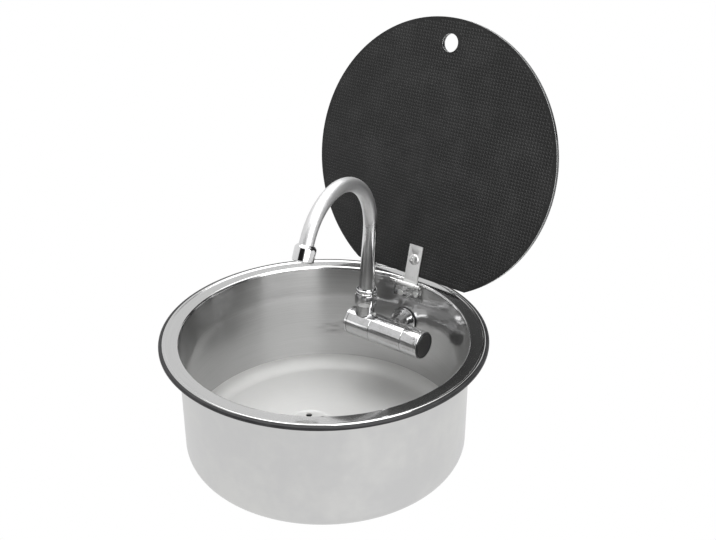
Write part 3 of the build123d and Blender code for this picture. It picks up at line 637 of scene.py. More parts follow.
def slot_head(screw, top, width, depth, length, crossed=False):
    """Mills a driver slot, or two crossed slots, into a screw head that points up the z axis."""
    for heading in (0.4, 0.4 + math.pi / 2)[: 2 if crossed else 1]:
        cut(screw, block((length, width, depth * 2), (0, 0, top), heading))
    smooth(35)


slot_head(waste_screw, WASTE_SCREW_TOP, 0.0014, 0.001, 0.02)
set_down(waste_screw, strainer_place)
wear(waste_screw, satin_steel)
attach(waste_screw, "sink")
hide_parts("waste_screw")

# ---- Waste cup: a moulded black polypropylene cup with a flange, stiffening ribs and a plain tail
# for the waste hose. It is pulled up against the bowl, with a flat rubber seal between.
CUP_TOP = FLOOR_TOP - RECESS_DEPTH - SHEET - 0.002
CUP_FLANGE_R, CUP_FLANGE_T = 0.031, 0.003
CUP_R, CUP_WALL, CUP_DEPTH = 0.0245, 0.0022, 0.026
TAIL_R, TAIL_WALL, TAIL_LENGTH = 0.0125, 0.002, 0.03
cup_base = -CUP_DEPTH
tail_top = cup_base - CUP_WALL * 3
tail_foot = tail_top - TAIL_LENGTH
waste_cup = turn([
    (CUP_R - CUP_WALL, 0.0, 0.0003),
    (CUP_FLANGE_R, 0.0, 0.0003),
    (CUP_FLANGE_R, -CUP_FLANGE_T, 0.0005),
    (CUP_R, -CUP_FLANGE_T, 0.0003),
    (CUP_R, cup_base, 0.003),
    (TAIL_R, tail_top, 0.001),
    (TAIL_R, tail_foot, 0.0005),
    (TAIL_R - TAIL_WALL, tail_foot, 0.0003),
    (TAIL_R - TAIL_WALL, cup_base - CUP_WALL, 0.0008),
    (CUP_R - CUP_WALL, cup_base + CUP_WALL, 0.002),
], 96)
settle("waste_cup_shell")
HUB_TOP, HUB_FOOT, CUP_HUB_R, INSERT_R = -0.006, -0.016, 0.006, 0.0042
cup_hub = turn([
    (INSERT_R, HUB_FOOT),
    (CUP_HUB_R, HUB_FOOT, 0.0003),
    (CUP_HUB_R, HUB_TOP, 0.0003),
    (INSERT_R, HUB_TOP),
], 48)
settle("waste_cup_hub")
parts = [waste_cup, cup_hub]


def bar(start, end, width, height, at_z, degrees):
    """A straight moulded rib that points outwards, with its edges rounded."""
    block((end - start, width, height), ((start + end) / 2, 0, at_z))
    bpy.ops.object.transform_apply()
    take_all()
    bpy.ops.mesh.bevel(offset=0.0004, segments=2)
    return settle("rib", turned(degrees, "Z"), crease=50)


ARM, ARMS, CUP_RIBS = 0.004, 3, 12
for index in range(ARMS):
    arm_degrees = 30 + 360 / ARMS * index
    parts.append(bar(0.0045, CUP_R - CUP_WALL + 0.0005, ARM, ARM, HUB_TOP - ARM / 2, arm_degrees))
rib_height = CUP_DEPTH - CUP_FLANGE_T - 0.006
rib_middle = -CUP_FLANGE_T - rib_height / 2
for index in range(CUP_RIBS):
    rib_degrees = 360 / CUP_RIBS * index
    parts.append(bar(CUP_R - 0.0005, CUP_R + 0.0018, 0.0012, rib_height, rib_middle, rib_degrees))
waste_cup = join("waste_cup_moulding", *parts)
cup_place = Matrix.Translation(WASTE + Vector((0, 0, CUP_TOP)))
set_down(waste_cup, cup_place)

black_plastic, shader, place = finish("black_plastic", (0.014, 0.014, 0.015), 0.0, 0.4)
grain = apply_effect(mould, place, 4200.0)
marks = smeared(place, 70.0)
colour_by(shader, grain["Dust"], (0.013, 0.013, 0.014), (0.04, 0.04, 0.041))
dull_by(shader, 0.28, (marks, 0.16))
relief(shader, grain["Height"], 0.00002)
wear(waste_cup, black_plastic)
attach(waste_cup, "sink")
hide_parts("waste_cup")

WASTE_SEAL_T = 0.002
turn([
    (WASTE_HOLE_R, 0.0, 0.0002),
    (CUP_FLANGE_R, 0.0, 0.0008),
    (CUP_FLANGE_R, WASTE_SEAL_T, 0.0008),
    (0.0275, WASTE_SEAL_T, 0.0003),
    (0.0268, WASTE_SEAL_T - 0.0004, 0.0003),
    (0.0261, WASTE_SEAL_T, 0.0003),
    (WASTE_HOLE_R, WASTE_SEAL_T, 0.0002),
], 96)
waste_seal = settle("waste_seal_ring", cup_place)
wear(waste_seal, black_rubber)
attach(waste_seal, "sink")
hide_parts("waste_seal")

bare_brass, shader, place = finish("bare_brass", (0.72, 0.52, 0.25), 1.0, 0.3)
marks = smeared(place, 150.0)
colour_by(shader, marks, (0.74, 0.54, 0.26), (0.5, 0.35, 0.17))
dull_by(shader, 0.2, (marks, 0.2))
wear(nodes["waste_insert"], bare_brass)

# ---- Lid: toughened clear glass, round but for the straight edge at its hinge, with polished
# edges and a finger hole. A black sheet with pressed square pips is bonded to its underside.
LID_R, LID_REACH, LID_CHORD = 0.1485, 0.1412, 0.1303
LID_UNDER, BACKING_T, GLASS_T = 0.004, 0.0012, 0.005
FINGER_R, FINGER_REACH = 0.0096, 0.1227
STRAP_SCREW_X, STRAP_SCREW_REACH = 0.0036, 0.0288
BUSH_HOLE_R = 0.0045
LID_SIDES = 192
HINGE_Y, HINGE_Z, LID_OPEN = 0.1405, -0.00045, 104.4
hinge_place = Matrix.Translation((0, HINGE_Y, HINGE_Z))
lid_place = hinge_place @ turned(-LID_OPEN, "X")
finger_hole = Vector((0, -LID_REACH - FINGER_REACH, 0))
strap_hole = Vector((STRAP_SCREW_X, -STRAP_SCREW_REACH, 0))


def lid_layer(name, foot, thickness, rounding, steps):
    """One layer of the closed lid, cut straight at the hinge, drilled, and rounded at its edges."""
    bpy.ops.mesh.primitive_circle_add(
        vertices=LID_SIDES, radius=LID_R, fill_type="NGON", location=(0, -LID_REACH, foot))
    take_all()
    bpy.ops.mesh.extrude_region_move(TRANSFORM_OT_translate={"value": (0, 0, thickness)})
    take_all()
    bpy.ops.mesh.bisect(
        plane_co=(0, LID_CHORD - LID_REACH, 0), plane_no=(0, 1, 0), clear_outer=True, use_fill=True)
    layer = settle(name)
    through = Vector((0, 0, 0.02))
    drill(layer, FINGER_R, finger_hole - through, finger_hole + through, 64)
    drill(layer, BUSH_HOLE_R, strap_hole - through, strap_hole + through)
    round_edges(layer, rounding, steps, 45)
    return layer


glass = lid_layer("lid_glass_disc", LID_UNDER + BACKING_T, GLASS_T, 0.0007, 3)
set_down(glass, lid_place)
smooth(35)

WIDE_FACE = 0.0002


def keep_flat(piece):
    """Shades a sheet's wide faces flat, so that they mirror without a bend from the rounded edges."""
    for face in piece.data.polygons:
        if face.area > WIDE_FACE:
            face.use_smooth = False


keep_flat(glass)
clear_glass, shader, place = finish("clear_glass", (0.93, 0.96, 0.95), 0.0, 0.02)
shader.inputs["Transmission Weight"].default_value = 1.0
shader.inputs["IOR"].default_value = 1.52
marks = smeared(place, 18.0)
dull_by(shader, 0.01, (marks, 0.05))
colour_by(shader, marks, (0.94, 0.965, 0.955), (0.9, 0.93, 0.92))
wear(glass, clear_glass)
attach(glass, "lid")
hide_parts("lid_glass")

PIP_PITCH, PIP_WIDTH, PIP_RISE, PIP_TAPER, PIP_MARGIN = 0.0035, 0.0023, 0.0003, 0.72, 0.0018
# The sheet is bonded to the glass, so it reaches a hair into it and no air film shows.
BOND = 0.00004
backing = lid_layer("lid_backing_sheet", LID_UNDER + PIP_RISE, BACKING_T - PIP_RISE + BOND, 0.00025, 2)
pips = block((PIP_WIDTH, PIP_WIDTH, PIP_RISE), (0, -LID_REACH, LID_UNDER + PIP_RISE / 2))
bpy.ops.object.transform_apply()
bpy.ops.object.mode_set(mode="EDIT")
pick("FACE", lambda spot: spot.z > LID_UNDER + PIP_RISE * 0.9)
bpy.ops.mesh.delete(type="FACE")
pick("FACE", lambda spot: spot.z < LID_UNDER + PIP_RISE * 0.1)
bpy.ops.transform.resize(value=(PIP_TAPER, PIP_TAPER, 1), center_override=(0, -LID_REACH, LID_UNDER))
bpy.ops.mesh.inset(thickness=PIP_WIDTH * 0.16)
bpy.ops.transform.translate(value=(0, 0, PIP_RISE * 0.25))
rows = int(LID_R / PIP_PITCH)
take_all()
bpy.ops.transform.translate(value=(-rows * PIP_PITCH, -rows * PIP_PITCH, 0))
bpy.ops.object.mode_set(mode="OBJECT")
for name, step in (("across", (PIP_PITCH, 0, 0)), ("along", (0, PIP_PITCH, 0))):
    repeat = pips.modifiers.new(name, "ARRAY")
    repeat.use_relative_offset = False
    repeat.use_constant_offset = True
    repeat.constant_offset_displace = step
    repeat.count = rows * 2 + 1
    bpy.ops.object.modifier_apply(modifier=name)
bpy.ops.object.mode_set(mode="EDIT")


def off_the_sheet(spot):
    """Whether a pip stands over the lid's edge or one of its holes."""
    x = round(spot.x / PIP_PITCH) * PIP_PITCH
    y = round((spot.y + LID_REACH) / PIP_PITCH) * PIP_PITCH
    reach = PIP_WIDTH / 2 + PIP_MARGIN
    centre = Vector((x, y - LID_REACH, 0))
    return (
        math.hypot(x, y) > LID_R - reach - 0.001
        or y > LID_CHORD - reach
        or (centre - finger_hole).length < FINGER_R + reach
        or (centre - strap_hole).length < BUSH_HOLE_R + reach
    )


pick("VERT", off_the_sheet)
bpy.ops.mesh.delete(type="VERT")
bpy.ops.object.mode_set(mode="OBJECT")
backing = join("lid_backing_sheet", backing, pips)
set_down(backing, lid_place)
smooth(20)
keep_flat(backing)

pressed_black, shader, place = finish("pressed_black", (0.012, 0.012, 0.012), 0.0, 0.4)
marks = smeared(place, 12.0)
grain = apply_effect(mould, place, 2600.0)
colour_by(shader, grain["Dust"], (0.011, 0.011, 0.011), (0.022, 0.022, 0.022))
dull_by(shader, 0.33, (marks, 0.1))
shader.inputs["Specular IOR Level"].default_value = 0.24
relief(shader, grain["Height"], 0.00001)
wear(backing, pressed_black)
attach(backing, "lid")
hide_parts("lid_backing")

# ---- Hinge strap: a strip of 1.5 mm stainless sheet, rolled round the pin at one end and screwed
# to the lid near the other, with all its edges softened.
PIN_R, KNUCKLE_R = 0.0015, 0.003
STRAP_X0, STRAP_X1, STRAP_T, STRAP_REACH = -0.0051, 0.0125, 0.0015, 0.045
STRAP_KNUCKLE_X0 = -0.0103
STRAP_ROLL = math.radians(300)
JOGGLE_Y, JOGGLE_RUN = -0.0048, 0.0022
bpy.ops.mesh.primitive_plane_add(size=1)
strap = bpy.context.object
strap.matrix_world = (
    Matrix.Translation((STRAP_X0, (JOGGLE_Y - STRAP_REACH) / 2, LID_UNDER - STRAP_T / 2))
    @ turned(90, "Y")
    @ Matrix.Diagonal((STRAP_T, STRAP_REACH + JOGGLE_Y, 1, 1))
)
bpy.ops.object.transform_apply()
bpy.ops.object.mode_set(mode="EDIT")
for run, drop in ((JOGGLE_RUN, -0.0006), (-JOGGLE_Y - JOGGLE_RUN, -0.0004)):
    ends = max(corner.co.y for corner in bmesh.from_edit_mesh(strap.data).verts)
    pick("EDGE", lambda spot: spot.y > ends - HAIR)
    bpy.ops.mesh.extrude_edges_move(TRANSFORM_OT_translate={"value": (0, run, drop)})
# The strip's end edge is rolled on round the pin.
pick("EDGE", lambda spot: abs(spot.y) < HAIR and spot.z > PIN_R)
bpy.ops.mesh.spin(steps=28, angle=STRAP_ROLL, center=(STRAP_X0, 0, 0), axis=(1, 0, 0))
take_all()
bpy.ops.mesh.extrude_region_move(TRANSFORM_OT_translate={"value": (STRAP_X1 - STRAP_X0, 0, 0)})
pick("FACE", lambda spot: abs(spot.x - STRAP_X0) < HAIR and spot.yz.length < KNUCKLE_R)
bpy.ops.mesh.extrude_region_move(TRANSFORM_OT_translate={"value": (STRAP_KNUCKLE_X0 - STRAP_X0, 0, 0)})
settle("hinge_strap_rolled")
drill(strap, 0.0025, strap_hole + Vector((0, 0, 0.001)), strap_hole + Vector((0, 0, 0.006)), 40)
round_edges(strap, SOFT_EDGE, 2, 50)
set_down(strap, lid_place)
smooth(30)
keep_flat(strap)
wear(strap, satin_steel)
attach(strap, "lid")
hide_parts("hinge_strap")

# ---- Strap fixings: a pan-head stainless screw with a cross recess, a nylon bush in the glass, a
# plain washer and a domed nut on top of the lid.
M5_R = 0.0025
STRAP_HEAD_R, STRAP_HEAD = 0.006, 0.0026
head_seat = STRAP_T - LID_UNDER
head_top = head_seat + STRAP_HEAD
glass_top = LID_UNDER + BACKING_T + GLASS_T
strap_screw = turn([
    (0.0, -(glass_top + 0.004)),
    (M5_R - 0.0004, -(glass_top + 0.004), 0.0002),
    (M5_R, -(glass_top + 0.0034)),
    (M5_R, head_seat),
    (STRAP_HEAD_R, head_seat, 0.0002),
    (STRAP_HEAD_R, head_seat + 0.0011, 0.0006),
    (0.0026, head_top, 0.0022),
    (0.0, head_top),
], 64)
settle("strap_screw_turned")
slot_head(strap_screw, head_top, 0.0012, 0.0013, 0.0058, crossed=True)
strap_hole_place = lid_place @ Matrix.Translation(strap_hole)
set_down(strap_screw, strap_hole_place @ turned(180, "X"))
wear(strap_screw, satin_steel)
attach(strap_screw, "lid")
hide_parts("strap_screw")

WASHER_R, WASHER_T = 0.0085, 0.001
turn([
    (M5_R + 0.0002, glass_top, 0.0001),
    (WASHER_R, glass_top, 0.0002),
    (WASHER_R, glass_top + WASHER_T, 0.0003),
    (M5_R + 0.0002, glass_top + WASHER_T, 0.0001),
], 64)
strap_washer = settle("strap_washer_pressed", strap_hole_place)
wear(strap_washer, satin_steel)
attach(strap_washer, "lid")
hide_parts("strap_washer")


def hexagon(piece, across, start, end):
    """Mills six flats on a turned nut between two heights."""
    for flat in range(6):
        spoke = math.radians(60 * flat)
        middle = (across * math.cos(spoke), across * math.sin(spoke), (start + end) / 2)
        cut(piece, block((across, across * 2, end - start), middle, spoke))
    smooth(30)


CAP_CORNER_R, CAP_ACROSS = 0.00462, 0.008
cap_nut = turn([
    (M5_R, glass_top + 0.001, 0.0002),
    (0.0043, glass_top + 0.001, 0.0004),
    (CAP_CORNER_R, glass_top + 0.0014, 0.0002),
    (CAP_CORNER_R, glass_top + 0.0044, 0.0002),
    (0.0041, glass_top + 0.005, 0.0003),
    (0.0037, glass_top + 0.0052),
    (0.0034, glass_top + 0.0069, 0.0016),
    (0.0015, glass_top + 0.0086, 0.001),
    (0.0, glass_top + 0.0088),
    (0.0, glass_top + 0.0045),
    (M5_R, glass_top + 0.0041),
], 64)
settle("strap_cap_nut_turned")
hexagon(cap_nut, CAP_ACROSS, glass_top, glass_top + 0.005)
set_down(cap_nut, strap_hole_place)
wear(cap_nut, satin_steel)
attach(cap_nut, "lid")
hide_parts("strap_cap_nut")

# ---- Hinge leaf: stainless sheet bent to the bowl's wall, with two rolled knuckles. Two small
# pan-head screws hold it, with washers and nuts outside the wall, and a headless pin runs through.
for name in ("leaf_washers", "leaf_nuts"):
    wear(nodes[name], satin_steel)
buffed_steel, shader, place = finish("buffed_steel", (0.5, 0.5, 0.495), 1.0, 0.15)
marks = smeared(place, 160.0)
dull_by(shader, 0.07, (marks, 0.14))
colour_by(shader, marks, (0.56, 0.56, 0.555), (0.42, 0.42, 0.415))
wear(nodes["hinge_leaf"], buffed_steel)
LEAF_T, LEAF_SCREW_R, LEAF_HEAD_R, LEAF_HEAD, LEAF_SCREW_END = 0.0014, 0.00198, 0.0037, 0.002, -0.0104
leaf_screws = []
for start, out in leaf_screw_ways:
    leaf_screw = turn([
        (0.0, LEAF_SCREW_END),
        (LEAF_SCREW_R - 0.00028, LEAF_SCREW_END, 0.0002),
        (LEAF_SCREW_R, LEAF_SCREW_END + 0.0005),
        (LEAF_SCREW_R, 0.00005),
        (LEAF_HEAD_R, 0.00005, 0.0002),
        (LEAF_HEAD_R, 0.0008, 0.0005),
        (0.0016, LEAF_HEAD, 0.0014),
        (0.0, LEAF_HEAD),
    ], 48)
    settle("leaf_screw")
    slot_head(leaf_screw, LEAF_HEAD, 0.0009, 0.0008, 0.0042, crossed=True)
    facing = (-out).to_track_quat("Z", "X").to_matrix().to_4x4()
    set_down(leaf_screw, Matrix.Translation(start - out * LEAF_T) @ facing)
    leaf_screws.append(leaf_screw)
leaf_screws = join("leaf_screws_turned", *leaf_screws)
wear(leaf_screws, satin_steel)
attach(leaf_screws, "sink")
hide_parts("leaf_screws")

PIN_X0, PIN_X1 = -0.0207, 0.019
turn([(0.0, PIN_X0), (PIN_R, PIN_X0, 0.0005), (PIN_R, PIN_X1, 0.0005), (0.0, PIN_X1)], 48)
pin = settle("hinge_pin_turned", hinge_place @ turned(90, "Y"))
wear(pin, satin_steel)
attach(pin, "sink")
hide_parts("hinge_pin")

# ---- Tap body: turned brass, polished and chrome plated. Its barrel carries the valve, its spigot
# the turning tee, and its stem runs to a threaded shank that passes through the bowl's wall.
polished_barrel, shader, place = finish("polished_barrel", (0.62, 0.62, 0.62), 1.0, 0.12)
marks = smeared(place, 90.0)
spots = cloud(place, 1400.0, 2.0)
dull_by(shader, 0.1, (marks, 0.05), (spots, 0.03))
colour_by(shader, marks, (0.56, 0.56, 0.565), (0.48, 0.48, 0.48))
brushed(shader, 0.5, direction_type="RADIAL", axis="X")
shader.inputs["Anisotropic Rotation"].default_value = 0.25
for name in ("tap_body", "tee", "tee_end_cap"):
    wear(nodes[name], polished_barrel)

bright_chrome, shader, place = finish("bright_chrome", (0.66, 0.66, 0.665), 1.0, 0.05)
marks = smeared(place, 110.0)
dull_by(shader, 0.03, (marks, 0.06))
colour_by(shader, marks, (0.68, 0.68, 0.685), (0.6, 0.6, 0.6))
wear(nodes["stop_pin"], satin_steel)
for name in ("tee_seals", "spout_seals", "tap_wall_gasket", "tap_back_gasket"):
    wear(nodes[name], black_rubber)

# ---- Wall collar: a stepped chrome ring between the stem and the rubber gasket that seals the
# hole. It is drawn up by the nut outside.
wear(nodes["tap_flange"], bright_chrome)
wear(nodes["tap_washer"], satin_steel)
wear(nodes["tap_backnut"], bare_brass)

# ---- Shank thread: a fine thread rolled on the bare end of the shank, beyond its nut. It is a
# three-sided ridge, wound round the shank and closed at both ends.
WALL_Y, SHANK_R, SHANK_END_Y = 0.0357, 0.0083, 0.0567
THREAD_PITCH = 0.0015
BACK_GASKET_T, BACK_WASHER_T, BACKNUT_T, THREAD_GAP = 0.0022, 0.0015, 0.006, 0.0003
thread_start = WALL_Y + SHEET + BACK_GASKET_T + BACK_WASHER_T + BACKNUT_T + THREAD_GAP
thread_turns = int((SHANK_END_Y - thread_start) / THREAD_PITCH) - 1
bpy.ops.mesh.primitive_circle_add(vertices=3, radius=THREAD_PITCH * 0.42)
thread = bpy.context.object
set_down(thread, Matrix.Translation((SHANK_R, 0, 0)) @ turned(90, "X") @ turned(-90, "Z"))
helix = thread.modifiers.new("helix", "SCREW")
helix.screw_offset = THREAD_PITCH
helix.iterations = thread_turns
helix.steps = helix.render_steps = 40
bpy.ops.object.modifier_apply(modifier="helix")
bpy.ops.object.mode_set(mode="EDIT")
bpy.ops.mesh.select_mode(type="EDGE")
bpy.ops.mesh.select_all(action="DESELECT")
bpy.ops.mesh.select_non_manifold(
    extend=False, use_wire=False, use_multi_face=False, use_non_contiguous=False)
bpy.ops.mesh.fill()
first_turn = Matrix.Translation((0, thread_start + THREAD_PITCH, 0))
settle("shank_thread", tap_place @ first_turn @ turned(-90, "X"))
wear(thread, bare_brass)
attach(thread, "sink")

# ---- Hose tail: a brass spigot screwed into the end of the shank, with a hexagon to turn it by
# and four barbs that hold the water hose.
HOSE_R, HOSE_BORE_R, HOSE_LENGTH = 0.0055, 0.0032, 0.02
HEX_ACROSS, HEX_CORNER_R, HEX_T = 0.017, 0.0098, 0.004
PLUG_R, PLUG_DEPTH, FACE_GAP = 0.0044, 0.0078, 0.00005
BARB_PITCH, BARB_LENGTH, BARB_RISE = 0.0042, 0.0038, 0.0008
barbs = []
for index in range(4):
    foot = HEX_T + 0.003 + index * BARB_PITCH
    barbs += [
        (HOSE_R - BARB_RISE, foot),
        (HOSE_R, foot + 0.0003, 0.0001),
        (HOSE_R - BARB_RISE, foot + BARB_LENGTH),
    ]
hose_tail = turn([
    (HOSE_BORE_R, -PLUG_DEPTH),
    (PLUG_R, -PLUG_DEPTH, 0.0003),
    (PLUG_R, -FACE_GAP),
    (HEX_CORNER_R, -FACE_GAP, 0.0008),
    (HEX_CORNER_R, HEX_T, 0.0008),
    (HOSE_R - BARB_RISE, HEX_T),
    *barbs,
    (HOSE_R - 0.0012, HEX_T + HOSE_LENGTH, 0.0003),
    (HOSE_BORE_R, HEX_T + HOSE_LENGTH),
], 64)
settle("hose_tail_turned")
hexagon(hose_tail, HEX_ACROSS, -0.001, HEX_T + 0.001)
set_down(hose_tail, tap_place @ Matrix.Translation((0, SHANK_END_Y, 0)) @ turned(-90, "X"))
wear(hose_tail, bare_brass)
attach(hose_tail, "sink")
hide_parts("hose_tail")

# ---- Spout: a chromed brass tube of 15 mm, drawn to a taper above its foot and bent over to the
# bowl. The polishing belt ran along it, and left its column bright and its arch satin.
COLUMN_X = -0.0303
TUBE_R, TUBE_WALL, TUBE_BASE_R = 0.0076, 0.0012, 0.0089
FOOT_R, FOOT_BOTTOM, FOOT_TOP = 0.0078, 0.023, 0.0426
BASE_TOP, TAPER_TOP, ARCH_START = 0.047, 0.108, 0.115
ARCH_R, ARCH_ANGLE = 0.0645, math.radians(159.4)
OUTLET_RUN, AERATOR_LENGTH, TUBE_IN_AERATOR = 0.0192, 0.0172, 0.008
TUBE_SIDES, ARCH_STEPS = 64, 72
COLUMN_LEAN, SPOUT_TURN = -4.6, 5.8
column_place = tap_place @ turned(COLUMN_LEAN, "X") @ Matrix.Translation((COLUMN_X, 0, 0))
spout_place = column_place @ turned(SPOUT_TURN, "Z")
level, tube_r = FOOT_BOTTOM, FOOT_R - 0.0004
bpy.ops.mesh.primitive_circle_add(vertices=TUBE_SIDES, radius=tube_r)
spout = bpy.context.object
take_all()
bpy.ops.transform.translate(value=(0, 0, level))
for next_level, next_r in (
    (FOOT_BOTTOM + 0.0006, FOOT_R),
    (FOOT_TOP, FOOT_R),
    (FOOT_TOP + 0.0001, TUBE_BASE_R),
    (BASE_TOP, TUBE_BASE_R),
    (BASE_TOP + 0.004, TUBE_BASE_R - 0.00006),
    (TAPER_TOP - 0.004, TUBE_R + 0.00006),
    (TAPER_TOP, TUBE_R),
    (ARCH_START, TUBE_R),
):
    bpy.ops.mesh.extrude_edges_move(TRANSFORM_OT_translate={"value": (0, 0, next_level - level)})
    growth = next_r / tube_r
    bpy.ops.transform.resize(value=(growth, growth, 1), center_override=(0, 0, next_level))
    level, tube_r = next_level, next_r
bpy.ops.mesh.spin(steps=ARCH_STEPS, angle=ARCH_ANGLE, center=(0, -ARCH_R, ARCH_START), axis=(-1, 0, 0))
outlet_way = Vector((0, -math.sin(ARCH_ANGLE), math.cos(ARCH_ANGLE)))
last_run = outlet_way * (OUTLET_RUN - AERATOR_LENGTH + TUBE_IN_AERATOR)
bpy.ops.mesh.extrude_edges_move(TRANSFORM_OT_translate={"value": last_run})
settle("spout_tube_bent")
hollow = spout.modifiers.new("hollow", "SOLIDIFY")
hollow.thickness = TUBE_WALL
bpy.ops.object.modifier_apply(modifier="hollow")
smooth(35)
along = spout.data.uv_layers.new(name="along")
for loop in spout.data.loops:
    spot = spout.data.vertices[loop.vertex_index].co
    if spot.z > ARCH_START or spot.y < -ARCH_R:
        turned_by = math.atan2(spot.z - ARCH_START, spot.y + ARCH_R)
        run = ARCH_START + ARCH_R * turned_by
        lift = math.hypot(spot.z - ARCH_START, spot.y + ARCH_R) - ARCH_R
    else:
        run, lift = spot.z, spot.y
    along.data[loop.index].uv = (run, math.atan2(spot.x, -lift) * TUBE_R)
set_down(spout, spout_place)

SATIN_FROM_TO = (0.1, 0.14)
belt_polished, shader, place = finish("belt_polished", (0.64, 0.64, 0.645), 1.0, 0.2)
marks = smeared(place, 50.0)
down_length = shader.id_data.nodes.new("ShaderNodeUVMap")
down_length.uv_map = "along"
softer = between(split(down_length.outputs[0])[0], *SATIN_FROM_TO, 0.03, 0.46)
dull_by(shader, softer, (marks, 0.05))
colour_by(shader, marks, (0.66, 0.66, 0.665), (0.6, 0.6, 0.6))
brushed(shader, 0.2, direction_type="UV_MAP", uv_map="along")
wear(spout, belt_polished)
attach(spout, "spout")
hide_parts("spout_tube")

# ---- Union nut and foot ring: a turned nut that holds the spout's foot in the tee, with a beaded
# ring pressed on the spout above it to hide the joint.
wear(nodes["union_nut"], bright_chrome)
NUT_TOP, RING_TOP, RING_R = 0.0406, 0.0445, 0.0118
ring_bore, ring_seat = FOOT_R + 0.0001, TUBE_BASE_R + 0.0001
turn([
    (ring_bore, NUT_TOP + 0.0003),
    (RING_R - 0.0008, NUT_TOP + 0.0003, 0.0002),
    (RING_R - 0.0008, NUT_TOP + 0.0008, 0.0002),
    (RING_R, NUT_TOP + 0.0011, 0.0004),
    (RING_R, RING_TOP - 0.0004, 0.0009),
    (RING_R - 0.0012, RING_TOP, 0.0004),
    (ring_seat, RING_TOP),
    (ring_seat, FOOT_TOP + 0.0001),
    (ring_bore, FOOT_TOP + 0.0001),
], 96)
foot_ring = settle("spout_foot_bead", spout_place)
wear(foot_ring, bright_chrome)
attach(foot_ring, "spout")
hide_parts("spout_foot_ring")

# ---- Aerator: a chromed shell screwed over the end of the spout, with a sloping shoulder, and a
# white plastic insert inside its mouth. The bush in the lid is moulded of the same plastic.
AERATOR_R, AERATOR_SHOULDER, MOUTH_R, INSERT_SEAT_R, MOUTH_LIP = 0.0111, 0.0024, 0.009, 0.0095, 0.0012
arch_y = -ARCH_R * (1 - math.cos(ARCH_ANGLE))
arch_end = Vector((0, arch_y, ARCH_START + ARCH_R * math.sin(ARCH_ANGLE)))
aerator_start = arch_end + outlet_way * (OUTLET_RUN - AERATOR_LENGTH)
pointing = outlet_way.to_track_quat("Z", "X").to_matrix().to_4x4()
turn([
    (TUBE_R + 0.0001, 0.0),
    (TUBE_R + 0.0009, 0.0, 0.0003),
    (AERATOR_R - 0.0003, AERATOR_SHOULDER, 0.0008),
    (AERATOR_R, AERATOR_SHOULDER + 0.0012, 0.0006),
    (AERATOR_R, AERATOR_LENGTH - 0.0014, 0.0008),
    (AERATOR_R - 0.0005, AERATOR_LENGTH - 0.0004, 0.0003),
    (AERATOR_R - 0.0012, AERATOR_LENGTH, 0.0003),
    (MOUTH_R, AERATOR_LENGTH, 0.0003),
    (MOUTH_R, AERATOR_LENGTH - MOUTH_LIP),
    (INSERT_SEAT_R, AERATOR_LENGTH - MOUTH_LIP),
    (INSERT_SEAT_R, TUBE_IN_AERATOR),
    (TUBE_R + 0.0001, TUBE_IN_AERATOR),
], 96)
aerator = settle("aerator_sleeve", spout_place @ Matrix.Translation(aerator_start) @ pointing)
wear(aerator, bright_chrome)
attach(aerator, "spout")
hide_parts("aerator_shell")
white_plastic, shader, place = finish("white_plastic", (0.75, 0.75, 0.73), 0.0, 0.4)
grain = apply_effect(mould, place, 5000.0)
colour_by(shader, grain["Dust"], (0.78, 0.78, 0.76), (0.62, 0.6, 0.55))
relief(shader, grain["Height"], 0.00001)
wear(nodes["aerator_insert"], white_plastic)
wear(nodes["strap_bush"], white_plastic)

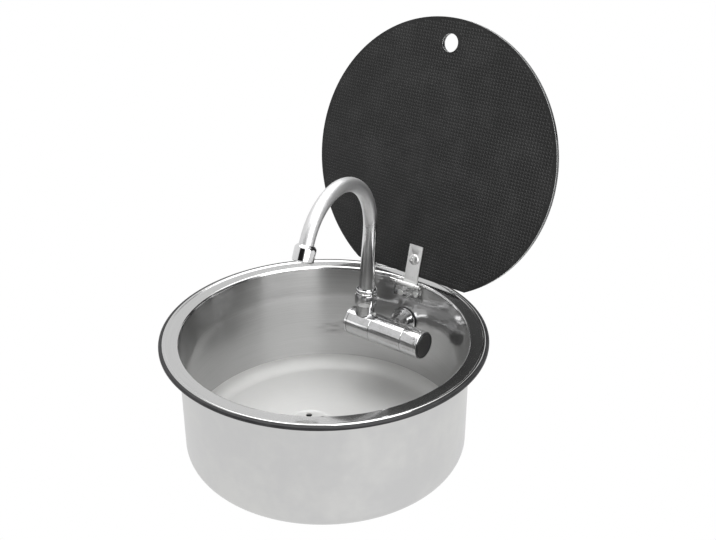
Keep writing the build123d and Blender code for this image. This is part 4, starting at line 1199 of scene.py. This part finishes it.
# ---- Knob: a chromed sleeve, turned with a fine groove near its end and a punched dot that marks
# the closed place. A black cap is pressed into it over the screw that holds it to the valve.
BODY_R, KNOB_START, KNOB_END = 0.0156, 0.0268, 0.0483
KNOB_WALL, CAP_T, CAP_INSET = 0.0018, 0.002, 0.0012
HUB_R, HUB_START, HUB_SEAT = 0.0065, 0.033, 0.041
SPINDLE_HOLE_R, KNOB_SCREW_HOLE_R, SCREW_WELL_R = 0.00352, 0.0016, 0.0042
DOT_R, DOT_DEPTH, DOT_X = 0.0012, 0.0005, 0.0435
knob = turn([
    (BODY_R - KNOB_WALL, KNOB_START, 0.0003),
    (BODY_R, KNOB_START, 0.0004),
    (BODY_R, KNOB_END - 0.0033, 0.0001),
    (BODY_R - 0.0003, KNOB_END - 0.0031, 0.0001),
    (BODY_R - 0.0003, KNOB_END - 0.0028, 0.0001),
    (BODY_R, KNOB_END - 0.0026, 0.0001),
    (BODY_R, KNOB_END, 0.0007),
    (BODY_R - CAP_INSET, KNOB_END, 0.0002),
    (BODY_R - CAP_INSET, KNOB_END - 0.0006),
    (SCREW_WELL_R, KNOB_END - 0.0006, 0.0003),
    (SCREW_WELL_R, HUB_SEAT + 0.0012),
    (KNOB_SCREW_HOLE_R, HUB_SEAT + 0.0012),
    (KNOB_SCREW_HOLE_R, HUB_SEAT),
    (SPINDLE_HOLE_R, HUB_SEAT),
    (SPINDLE_HOLE_R, HUB_START, 0.0003),
    (HUB_R, HUB_START, 0.0003),
    (HUB_R, HUB_SEAT - 0.0015, 0.0005),
    (BODY_R - KNOB_WALL, HUB_SEAT - 0.0015, 0.0005),
], 128)
settle("knob_sleeve")
to_knob = tap_place @ turned(90, "Y")
dot_place = (DOT_DEPTH - DOT_R - BODY_R, 0, DOT_X)
bpy.ops.mesh.primitive_uv_sphere_add(segments=24, ring_count=12, radius=DOT_R, location=dot_place)
cut(knob, bpy.context.object)
set_down(knob, to_knob)
smooth(30)
wear(knob, polished_barrel)
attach(knob, "knob_body")
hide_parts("knob")
cap_r = BODY_R - CAP_INSET - 0.00005
turn([
    (0.0, KNOB_END - 0.0006),
    (cap_r, KNOB_END - 0.0006, 0.0002),
    (cap_r, KNOB_END + CAP_T, 0.0008),
    (BODY_R - 0.0032, KNOB_END + CAP_T, 0.0004),
    (BODY_R - 0.0036, KNOB_END + CAP_T - 0.0003, 0.0004),
    (0.0, KNOB_END + CAP_T - 0.0004),
], 96)
knob_cap = settle("knob_cap_disc", to_knob)
wear(knob_cap, black_plastic)
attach(knob_cap, "knob_body")
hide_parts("knob_cap")

# ---- Valve: a brass cartridge in the end of the barrel, with a spindle that the knob turns. A
# small stainless screw in the spindle's end holds the knob.
for name in ("valve_cartridge", "valve_spindle"):
    wear(nodes[name], bare_brass)
wear(nodes["knob_screw"], satin_steel)
